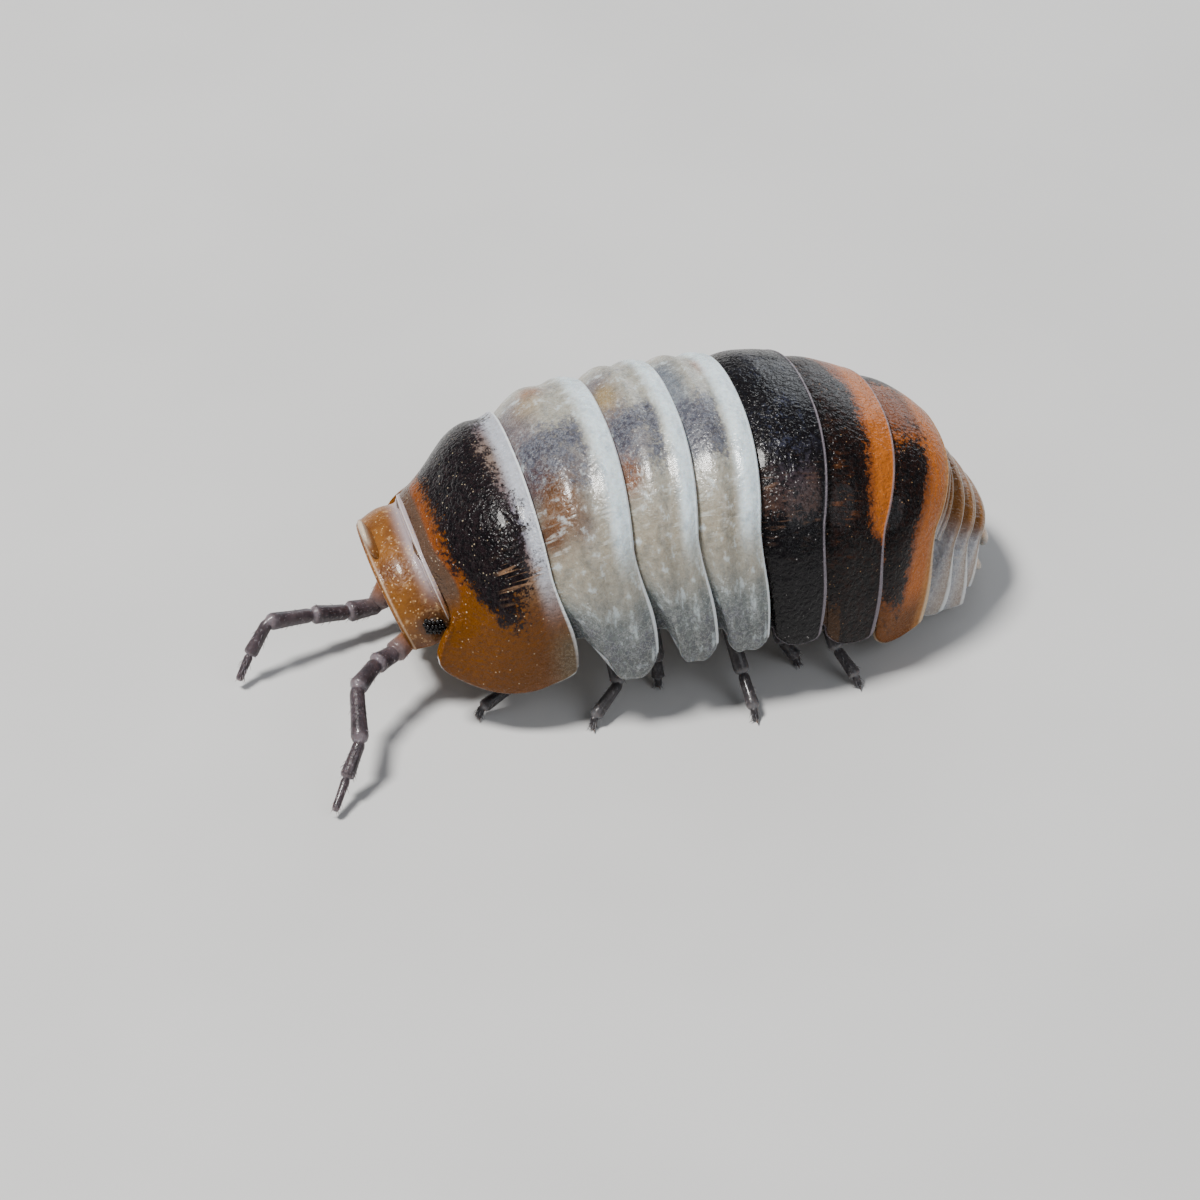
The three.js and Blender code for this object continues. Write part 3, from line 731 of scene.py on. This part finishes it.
def end_strip(rows, columns, j):
    """Closes one end of a shell with quads between facing rows."""
    faces = []
    low, high = 0, rows - 1
    while high - low > 2:
        a, b = low * columns + j, high * columns + j
        c, d = (high - 1) * columns + j, (low + 1) * columns + j
        faces.append([a, d, c, b])
        low += 1
        high -= 1
    if high - low == 2:
        faces.append([low * columns + j, (low + 1) * columns + j, high * columns + j])
    return faces


SECOND_SPOTS = [
    (0.5, 0.2, 0.2, rgb(84, 74, 84), 0.7),
    (0.44, 0.44, 0.14, rgb(104, 84, 74), 0.7),
    (0.16, 0.2, 0.17, rgb(70, 54, 60), 0.85),
    (0.12, 0.44, 0.15, rgb(96, 60, 36), 0.9),
    (0.28, 0.33, 0.21, rgb(106, 66, 28), 0.9),
    (0.3, -0.16, 0.14, rgb(168, 140, 92), 0.4),
    (0.42, -0.27, 0.12, rgb(150, 100, 56), 0.8),
]
THIRD_SPOTS = [
    (0.12, 0.3, 0.15, rgb(122, 76, 46), 0.9),
    (0.16, -0.09, 0.13, rgb(176, 148, 84), 0.6),
    (0.4, 0.17, 0.12, rgb(96, 92, 106), 0.6),
]
FOURTH_SPOTS = [(0.75, -0.18, 0.12, rgb(160, 92, 36), 1.0)]
# Of each thorax plate: shape, paint, material, slot.
THORAX_LOOKS = [
    ("first", first_paint, FIRST_PLATE, "plate_dark"),
    ("thorax", milk_paint(0.77, SECOND_SPOTS, 0.78, PURPLE), MILK_PLATE, "plate_milk"),
    ("thorax", milk_paint(0.75, THIRD_SPOTS, 0.74, PURPLE), MILK_PLATE, "plate_milk"),
    ("thorax", milk_paint(0.68, FOURTH_SPOTS, 0.7, BLUE_GREY), MILK_PLATE, "plate_milk"),
    ("smooth", black_paint, DARK_PLATE, "plate_dark"),
    ("smooth", sixth_paint, ORANGE_PLATE, "plate_dark"),
    ("smooth", seventh_paint, ORANGE_PLATE, "plate_orange"),
]
LAST_FOLLOW = 0.95
TAIL_FOLLOW = 0.5

front = COLLAR
for i, ((rear, lobe, notch, bulge), (shape, paint, material, slot)) in enumerate(zip(THORAX, THORAX_LOOKS)):
    own_shape = dict(
        bulge=bulge,
        follow=LAST_FOLLOW if i == len(THORAX) - 1 else 1.0,
        tuck=TUCK if i else FIRST_TUCK,
        rounding=CORNER if i else FIRST_CORNER,
    )
    plate(f"thorax_plate_{i + 1}", shape, front, rear, lobe, notch, paint, material, slot, **own_shape)
    front = rear
for i, (rear, lobe, notch, reach) in enumerate(TAIL):
    look = (tail_paint, GLASS_PLATE, "plate_glassy")
    plate(f"tail_plate_{i + 1}", "tail", front, rear, lobe, notch, *look, follow=TAIL_FOLLOW, reach=reach)
    front = rear


# Flat pieces
END_ROWS = 4  # rows over which a flat piece rounds off to its end
BLUNT = 0.12  # so that an end keeps some width


def slab(stations, side=1, around=28, along=8):
    """A flat closed piece through stations of x, y, z, half width, half thickness and tilt in degrees."""
    knots = np.arange(len(stations))
    fine = np.linspace(0, len(stations) - 1, (len(stations) - 1) * along + 1)
    columns = [spline(knots, [s[k] for s in stations], fine) for k in range(6)]
    angles = np.linspace(0, 2 * np.pi, around, endpoint=False)
    rings = []
    for n, (x, y, z, wide, thick, tilt) in enumerate(zip(*columns)):
        end = min(n, len(fine) - 1 - n) / END_ROWS + BLUNT
        shrink = math.sqrt(1 - (1 - min(1.0, end)) ** 2)
        across = wide * shrink * np.sign(np.cos(angles)) * np.abs(np.cos(angles)) ** 0.8
        up = thick * shrink * np.sign(np.sin(angles)) * np.abs(np.sin(angles)) ** 0.8
        lean = math.radians(tilt)
        rings.append(np.stack([side * x + across, y + up * math.sin(lean), z + up * math.cos(lean)], axis=-1))
    return tube(rings)


def plain_fields(count, color=None):
    """Fields for a piece whose material reads a painted tint: none painted unless a colour is given."""
    tint = np.tile(color if color is not None else np.zeros(3), (count, 1))
    return dict(tint=tint, own=np.full(count, 0.0 if color is None else 1.0))


TAIL_SHIELD = [
    (0, 18.2, 2.0, 0.8, 0.16, 52),
    (0, 18.75, 1.5, 0.8, 0.17, 68),
    (0, 19.02, 1.0, 0.62, 0.16, 80),
    (0, 19.06, 0.5, 0.3, 0.1, 88),
]
TAIL_FOOT = [
    (1.45, 17.75, 1.62, 0.28, 0.15, 52),
    (1.45, 18.3, 1.1, 0.38, 0.16, 65),
    (1.2, 18.6, 0.6, 0.24, 0.1, 78),
]
TAIL_TIP = 0.6  # height at which the tail pieces are palest


def glass_fields(points, root):
    """Paint of a tail piece: tan at its root's height, pale at the tip."""
    z = np.asarray(points)[:, 2]
    down = ramp(z, root, TAIL_TIP)
    tint = over(even(rgb(196, 152, 104), z), rgb(214, 212, 208), down)
    zero = np.zeros(len(z))
    return dict(tint=tint, ink=zero, streak=zero, fleck=zero + 0.3, rim=zero, rim_tint=tint)


points, faces = slab(TAIL_SHIELD)
new_piece("telson", points, faces, GLASS_PLATE, ["tail_shield"], glass_fields(points, 1.9))
for side, sign in (("left", 1), ("right", -1)):
    points, faces = slab(TAIL_FOOT, sign)
    fields = glass_fields(points, 1.6)
    new_piece(f"uropod_{side}", points, faces, GLASS_PLATE, [f"tail_foot_{side}"], fields)


# Belly, mouthparts and breathing flaps as one skin
BELLY_REACH = 0.84
BELLY_STEPS = 6
MIDDLE_INSET, EDGE_INSET, TAIL_INSET = 1.02, 1.32, 1.15
TAIL_LEAST = 0.6  # the least height of the belly in the tail
MIDDLE_BULGE, EDGE_BULGE = 0.22, 0.05
FLAT = dict(sweep=0.0, bow=0.0)
# Centre, radii and turn of the mouth and the throat.
MOUTH = [
    ((0, 2.3, 1.3), (0.75, 0.6, 0.45), 10),
    ((0.4, 1.95, 1.22), (0.34, 0.42, 0.34), 20),
    ((-0.4, 1.95, 1.22), (0.34, 0.42, 0.34), 20),
    ((0, 3.1, 1.75), (0.9, 1.3, 0.7), -25),
]
FLAP_PAIRS = 4
FLAP_FROM = 14.5
FLAP_STEP = 0.72
FLAP_DROP = 0.62
SKIN_VOXEL = 0.085


def body_ring(a, inset, reach, bulge, steps=64, under=24):
    """A closed ring: an arch down to its reach, and a sagging line back under it."""
    v = np.linspace(-reach, reach, steps + 1)
    top = arch_point(a, v, inset)
    k = np.arange(1, under) / under
    low = top[-1] + (top[0] - top[-1]) * k[:, None]
    low[:, 2] -= bulge * np.sin(np.pi * k)
    return np.concatenate([top, low])


# Arches in the plates' middles and at their rear edges, where the belly draws in.
belly_arches = [between(COLLAR, THORAX[0][0], 0.52)]
for i, (rear, *_) in enumerate(THORAX):
    if i:
        belly_arches.append(between(THORAX[i - 1][0], rear, 0.55))
    belly_arches.append(rear)
thorax_count = len(belly_arches)
belly_arches += [row[0] for row in TAIL[2:]]
belly_insets, belly_bulges = [], []
for i, a in enumerate(belly_arches):
    if i < thorax_count:
        belly_insets.append(EDGE_INSET if i % 2 else MIDDLE_INSET)
    else:
        belly_insets.append(min(TAIL_INSET, a["height"] - TAIL_LEAST))
    belly_bulges.append(EDGE_BULGE if i % 2 else MIDDLE_BULGE)
knots = np.arange(len(belly_arches))
rings = []
for spot in np.linspace(0, len(belly_arches) - 1, (len(belly_arches) - 1) * BELLY_STEPS + 1):
    a = {key: spline(knots, [b[key] for b in belly_arches], spot) for key in COLLAR} | FLAT
    inset, bulge = spline(knots, belly_insets, spot), spline(knots, belly_bulges, spot)
    rings.append(body_ring(a, inset, BELLY_REACH, bulge))
belly = tube(rings)
belly_corners = [arch_point(a | FLAT, -BELLY_REACH, inset) for a, inset in zip(belly_arches, belly_insets)]


def under_at(y):
    """Height of the belly's corners, and half width and foot height of the arches, at a place along it."""
    i = 0
    while i + 2 < len(belly_corners) and belly_corners[i + 1][1] < y:
        i += 1
    low, high = belly_corners[i], belly_corners[i + 1]
    t = min(1.0, max(0.0, (y - low[1]) / (high[1] - low[1])))
    a = between(belly_arches[i], belly_arches[i + 1], t)
    return mix(low[2], high[2], t), a["half_width"], a["z"]


flesh_parts = [belly] + [ball(*form) for form in MOUTH]
for k in range(FLAP_PAIRS):
    y = FLAP_FROM + FLAP_STEP * k
    z = under_at(y)[0] - FLAP_DROP
    flap = [
        (0.5, y - 0.2, z + 0.2, 0.46, 0.2, 15),
        (0.52, y + 0.5, z - 0.08, 0.56, 0.15, 15),
        (0.46, y + 1.0, z - 0.26, 0.4, 0.1, 15),
    ]
    flesh_parts += [slab(flap, side, around=20, along=6) for side in (1, -1)]
    flesh_parts.append(ball((0, y, z + 0.4), (0.8, 0.5, 0.5)))
points, faces = gather(flesh_parts)
flesh_nodes = ["belly", "mouthparts", "breathing_flaps"]
flesh = new_piece("underside_skin", points, faces, FLESH, flesh_nodes)
remesh = flesh.modifiers.new("skin", "REMESH")
remesh.mode = "VOXEL"
remesh.voxel_size = SKIN_VOXEL * MM
remesh.use_smooth_shade = True
relax = flesh.modifiers.new("relax", "SMOOTH")
relax.factor = 0.5
relax.iterations = 4


# Head
# Arch, inset and sag below. A ring's place is its number, with HEAD_STEPS steps to the next one.
HEAD_RINGS = [
    (arch(3.15, 2.55, 14, 2.15, 1.75), 0.0, 0.2),
    (HEAD_REAR, 0.7, 0.25),
    (HEAD_REAR, 0.03, 0.45),
    (between(HEAD_REAR, HEAD_FRONT, 0.12), 0.0, 0.5),
    (between(HEAD_REAR, HEAD_FRONT, 0.22), 0.1, 0.5),
    (between(HEAD_REAR, HEAD_FRONT, 0.6), -0.04, 0.4),
    (HEAD_FRONT, 0.0, 0.2),
    (HEAD_FRONT | dict(y=1.38, z=1.95), 0.12, 0.1),
    (HEAD_FRONT | dict(y=1.48, z=1.85), 0.5, 0.1),
    (HEAD_FRONT | dict(y=1.45, z=1.7), 1.3, 0.1),
]
HEAD_STEPS = 12
HEAD_OVER, HEAD_UNDER = 120, 40
REAR_RIDGE, REAR_GROOVE, FRONT_RIDGE = 2.75, 3.1, 6.05
EYE_PATCH = np.array([1.0, 0.42, 0.34])


def layer(tint, own, color, weight):
    """Paints a colour over what is painted already, and adds to how much is painted."""
    together = own + weight - own * weight
    return over(tint, color, weight / np.maximum(together, 1e-6)), together


knots = np.arange(len(HEAD_RINGS))
places = np.linspace(0, len(HEAD_RINGS) - 1, (len(HEAD_RINGS) - 1) * HEAD_STEPS + 1)
rings = []
for spot in places:
    a = {key: spline(knots, [r[0][key] for r in HEAD_RINGS], spot) for key in COLLAR}
    inset = spline(knots, [r[1] for r in HEAD_RINGS], spot)
    inset -= 0.04 * hill(spot, FRONT_RIDGE, 0.12)
    inset -= 0.03 * hill(spot, REAR_RIDGE, 0.1) - 0.03 * hill(spot, REAR_GROOVE, 0.14)
    sag = spline(knots, [r[2] for r in HEAD_RINGS], spot)
    rings.append(body_ring(a, inset, 1.0, sag, HEAD_OVER, HEAD_UNDER))
points, faces = tube(rings)
ring_place = np.append(np.repeat(places, len(rings[0])), [0, places[-1]])
one_ring = np.append(np.linspace(-1, 1, HEAD_OVER + 1), np.ones(HEAD_UNDER - 1))
s = np.abs(np.append(np.tile(one_ring, len(rings)), [0, 0]))
tint = even(rgb(136, 80, 26), points)
own = np.zeros(len(points))
gaps = [np.linalg.norm((points - eye) / EYE_PATCH, axis=1) for eye in (EYE, EYE * MIRROR)]
collar = ramp(ring_place, 4.7, 3.7) * ramp(ring_place, 1.9, 2.2) * ramp(s, 0.8, 0.4)
for color, weight in (
    (rgb(172, 160, 164), collar * 0.9),
    (rgb(226, 218, 214), hill(ring_place, REAR_RIDGE, 0.08) * ramp(s, 0.98, 0.85) * 0.7),
    (rgb(212, 186, 156), hill(ring_place, FRONT_RIDGE, 0.07) * 0.7),
    (rgb(96, 52, 20), ramp(ring_place, 6.3, 7.2) * 0.8),
    (rgb(96, 62, 36), ramp(np.minimum(*gaps), 1.35, 0.9) * 0.85),
):
    tint, own = layer(tint, own, color, weight)
new_piece("head_cuticle", points, faces, HEAD_SKIN, ["head"], dict(tint=tint, own=own))

FOREHEAD_SHIELD = [
    (0, 1.0, 3.85, 0.78, 0.13, 65),
    (0, 0.75, 4.22, 0.72, 0.12, 65),
    (0, 0.61, 4.5, 0.52, 0.09, 65),
    (0, 0.56, 4.68, 0.26, 0.06, 65),
]
points, faces = slab(FOREHEAD_SHIELD)
fields = plain_fields(len(points), rgb(126, 78, 28))
fields["tint"] = over(fields["tint"], rgb(200, 182, 160), ramp(points[:, 2], 4.3, 4.62))
new_piece("forehead_shield", points, faces, HEAD_SKIN, fields=fields)


# Eyes: a patch of small round lenses on the cheek
LENS_ROWS, LENS_COLUMNS = 4, 6
LENS_SHIFT = 0.02
LENS_SIZES = (0.058, 0.074)
EYE_LONG, EYE_HIGH, EYE_RISE = 0.34, 0.25, 0.2
EYE_SLANT = 0.08
EYE_BED = (0.12, 0.28, 0.18)


def eye_lenses(sign):
    parts = []
    for row in range(LENS_ROWS):
        for k in range(LENS_COLUMNS):
            along = (k - 2.5 + (row % 2) * 0.5) / 3.2
            up = (row - 1.5) / 2.1
            if along * along + up * up > 0.98:
                continue
            y = EYE[1] + EYE_LONG * along + rng.uniform(-LENS_SHIFT, LENS_SHIFT)
            z = EYE[2] + EYE_HIGH * up - EYE_SLANT * along + rng.uniform(-LENS_SHIFT, LENS_SHIFT)
            rise = EYE_RISE * math.sqrt(max(0.0, 1 - (along * along + up * up) * 0.9))
            size = rng.uniform(*LENS_SIZES)
            centre = (sign * (EYE[0] + rise - 0.04), y, z)
            parts.append(ball(centre, (size, size, size), rows=8, columns=12))
    return gather(parts)


for side, sign in (("left", 1), ("right", -1)):
    points, faces = ball((sign * (EYE[0] - 0.06), EYE[1], EYE[2]), EYE_BED, 25, rows=16, columns=24)
    fields = plain_fields(len(points), rgb(46, 28, 14))
    new_piece(f"eye_bed_{side}", points, faces, HEAD_SKIN, fields=fields)
    points, faces = eye_lenses(sign)
    fields = plain_fields(len(points))
    new_piece(f"eye_lenses_{side}", points, faces, LENS, [f"eye_{side}"], fields)


# Limbs
# Along one article: share of its length, share of its radius, and how pale it is.
ARTICLE = [
    (0.0, 0.62, 0.5),
    (0.05, 0.8, 0.1),
    (0.12, 0.9, 0.0),
    (0.3, 0.9, 0.0),
    (0.55, 0.95, 0.0),
    (0.78, 1.03, 0.0),
    (0.9, 1.06, 0.1),
    (0.97, 0.9, 0.5),
]
TIP = 0.1
HAIR_LENGTHS = (0.1, 0.2)
HAIR_WIDTH, HAIR_PALENESS = 0.014, 0.7
CLAW_LENGTH, CLAW_WIDTH, CLAW_RISE = 0.24, 0.06, 0.12
SPIKE_CURVE = 0.12
FEELER_RADII = [0.31, 0.29, 0.26, 0.24, 0.2, 0.15]
FEELER_HAIRS, FEELER_AROUND = 26, 24
LEG_RADII = [0.28, 0.26, 0.22, 0.18, 0.13]
LEG_HAIRS, LEG_AROUND = 14, 18


def frame_along(points):
    """Two directions across a path at each of its points."""
    tangents = np.gradient(points, axis=0)
    tangents /= np.linalg.norm(tangents, axis=1)[:, None]
    up = np.array([0.0, 0.0, 1.0])
    if abs(tangents[0] @ up) > 0.8:
        up = np.array([0.0, 1.0, 0.0])
    ups = []
    for tangent in tangents:
        up = up - tangent * (up @ tangent)
        up = up / np.linalg.norm(up)
        ups.append(up)
    ups = np.array(ups)
    return np.cross(tangents, ups), ups


def limb(joints, radii, around, hairs, pale, claw=False, base=None):
    """Articles that swell towards their far end, with a narrow pale joint between them, and bristles.

    base is the colour of the root and how far that reaches.
    """
    joints = np.array(joints, float)
    spots, sizes, paleness = [], [], []
    articles = len(joints) - 1
    for i in range(articles):
        last = i == articles - 1
        for share, size, pale_share in ARTICLE:
            spots.append(mix(joints[i], joints[i + 1], share))
            sizes.append(mix(radii[i], TIP, share if last else 0) * size)
            paleness.append(pale_share)
    spots.append(joints[-1])
    sizes.append(TIP * 0.55)
    paleness.append(0.5)
    spots, sizes = np.array(spots), np.array(sizes)
    x, y = frame_along(spots)
    angles = np.linspace(0, 2 * np.pi, around, endpoint=False)[:, None]
    rings = [p + r * (np.cos(angles) * u + np.sin(angles) * w) for p, r, u, w in zip(spots, sizes, x, y)]
    parts = [tube(rings)]
    owns = [np.append(np.repeat(paleness, around), [0, 0])]
    for i in range(articles):
        along = joints[i + 1] - joints[i]
        along = along / np.linalg.norm(along)
        for _ in range(hairs):
            share = rng.uniform(0.15, 0.95)
            k = min(len(spots) - 2, i * len(ARTICLE) + int(share * len(ARTICLE)))
            angle = rng.uniform(0, 2 * math.pi)
            out = x[k] * math.cos(angle) + y[k] * math.sin(angle)
            foot = mix(joints[i], joints[i + 1], share) + out * sizes[k] * 0.85
            parts.append(spike(foot, out * 0.6 + along * 0.8, rng.uniform(*HAIR_LENGTHS), HAIR_WIDTH))
            owns.append(np.full(len(parts[-1][0]), HAIR_PALENESS))
    if claw:
        out = np.array([joints[-1][0] - joints[0][0], 0, 0.0])
        out = out / max(1e-6, np.linalg.norm(out))
        foot = joints[-1] + np.array([0, 0, CLAW_RISE])
        parts.append(spike(foot, out * 0.8 + [0, 0, -0.28], CLAW_LENGTH, CLAW_WIDTH))
        owns.append(np.zeros(len(parts[-1][0])))
    points, faces = gather(parts)
    own = np.concatenate(owns)
    tint = even(pale, points)
    if base is not None:
        root_color, root_reach = base
        root = np.clip(1 - np.linalg.norm(points - joints[0], axis=1) / root_reach, 0, 1)
        weight = ramp(root, 0.0, 0.6)
        tint = over(tint, root_color, weight)
        own = np.maximum(own, weight)
    points[:, 2] = np.maximum(points[:, 2], 0.0)
    return points, faces, dict(tint=tint, own=own)


def spike(foot, direction, length, width):
    """A thin curved cone: a bristle or a claw."""
    direction = np.asarray(direction, float)
    direction = direction / np.linalg.norm(direction)
    side = np.cross(direction, [0.0, 0.3, 1.0])
    side = side / np.linalg.norm(side)
    other = np.cross(direction, side)
    turns = np.linspace(0, 2 * np.pi, 5, endpoint=False)[:, None]
    rings = []
    for share in (0.0, 0.5, 1.0):
        middle = foot + direction * length * share + np.array([0, 0, -SPIKE_CURVE]) * length * share * share
        size = width * (1 - 0.88 * share)
        rings.append(middle + size * (np.cos(turns) * side + np.sin(turns) * other))
    return tube(rings)


for side, joints in (("left", LEFT_FEELER), ("right", RIGHT_FEELER)):
    sizes = (FEELER_RADII, FEELER_AROUND, FEELER_HAIRS)
    points, faces, fields = limb(joints, *sizes, rgb(140, 130, 136), base=(rgb(126, 76, 34), 1.6))
    new_piece(f"antenna_{side}", points, faces, FEELER_SKIN, [f"feeler_{side}"], fields)

for i, (x, y, shin_y, hip_y) in enumerate(FEET):
    under, half_width, arch_foot = under_at(hip_y)
    knee = min(half_width - 1.5, x - 0.4)
    knee_height = min(arch_foot - 0.2, under - 1.4)
    for side, sign, stride in (("left", 1, 0), ("right", -1, RIGHT_STRIDE[i])):
        joints = [
            (sign * 1.25, hip_y, under + 0.1),
            (sign * 1.5, hip_y, under - 0.85),
            (sign * knee, mix(hip_y, shin_y, 0.7) + stride * 0.3, knee_height),
            (sign * mix(knee, x, 0.5), shin_y + stride * 0.6, 0.82),
            (sign * mix(knee, x, 0.92), mix(shin_y, y, 0.9) + stride, 0.32),
            (sign * x, y + stride, 0.05),
        ]
        points, faces, fields = limb(joints, LEG_RADII, LEG_AROUND, LEG_HAIRS, rgb(128, 126, 128), claw=True)
        node = f"leg_{side}_{i + 1}"
        new_piece("walking_" + node, points, faces, LEG_SKIN, [node], fields)


# Floor, light and camera
FLOOR = 3.0  # metres
FLOOR_DARK, FLOOR_LIGHT = (0.62, 0.62, 0.615), (0.66, 0.66, 0.655)
FLOOR_ROUGHNESS = 0.65
SKY = (0.93, 0.95, 1.0, 1)
SKY_STRENGTH = 0.2
AZIMUTH, ELEVATION = math.radians(15), math.radians(38)
PHOTO = 1200
SENSOR = 36.0
SCALE = 35.0  # pixels of the photograph per millimetre
DISTANCE = 150.0
# A point of the body and its pixel in the photograph.
ANCHOR = Vector((0, 9.0, 3.8)) - Vector(ORIGIN)
ANCHOR_PIXEL = (650, 505)


def floor_material():
    n = Nodes("studio_floor")
    fine = n.noise(0.08, 3, 0.5)
    return n.finish(n.blend(n.step(fine, 0.3, 0.7), FLOOR_DARK, FLOOR_LIGHT), FLOOR_ROUGHNESS)


mesh = bpy.data.meshes.new("studio_floor")
corners = [(-FLOOR, -FLOOR, 0), (FLOOR, -FLOOR, 0), (FLOOR, FLOOR, 0), (-FLOOR, FLOOR, 0)]
mesh.from_pydata(corners, [], [[0, 1, 2, 3]])
floor = bpy.data.objects.new("studio_floor", mesh)
bpy.context.scene.collection.objects.link(floor)
mesh.materials.append(floor_material())

world = bpy.data.worlds.new("studio")
world.use_nodes = True
sky = world.node_tree.nodes["Background"].inputs
sky["Color"].default_value = SKY
sky["Strength"].default_value = SKY_STRENGTH
bpy.context.scene.world = world

level = math.cos(ELEVATION)
back = Vector((math.cos(AZIMUTH) * level, -math.sin(AZIMUTH) * level, math.sin(ELEVATION)))
right = (-back).cross(Vector((0, 0, 1))).normalized()
up = right.cross(-back)
aim = ANCHOR + right * ((PHOTO / 2 - ANCHOR_PIXEL[0]) / SCALE) - up * ((PHOTO / 2 - ANCHOR_PIXEL[1]) / SCALE)
camera_data = bpy.data.cameras.new("camera")
camera_data.sensor_width = SENSOR
camera_data.lens = SCALE * DISTANCE / PHOTO * SENSOR
camera_data.clip_start = 0.005
camera = bpy.data.objects.new("camera", camera_data)
bpy.context.scene.collection.objects.link(camera)
camera.location = (aim + back * DISTANCE) * MM
camera.rotation_euler = back.to_track_quat("Z", "Y").to_euler()
bpy.context.scene.camera = camera


def softbox(name, towards, aside, height, size, watts, color):
    """A round lamp aimed at the middle, placed by the camera's own directions, in millimetres."""
    light = bpy.data.lights.new(name, "AREA")
    light.shape = "DISK"
    light.size = size * MM
    light.energy = watts
    light.color = color
    lamp = bpy.data.objects.new(name, light)
    bpy.context.scene.collection.objects.link(lamp)
    place = back * towards + right * aside + Vector((0, 0, height))
    lamp.location = place * MM
    lamp.rotation_euler = place.to_track_quat("Z", "Y").to_euler()


softbox("key", 20, -110, 250, 70, 1.25, (1.0, 0.98, 0.95))
softbox("fill", 220, 160, 60, 200, 0.22, (0.92, 0.95, 1.0))
softbox("rim", -220, 60, 200, 120, 0.1, (0.9, 0.95, 1.0))
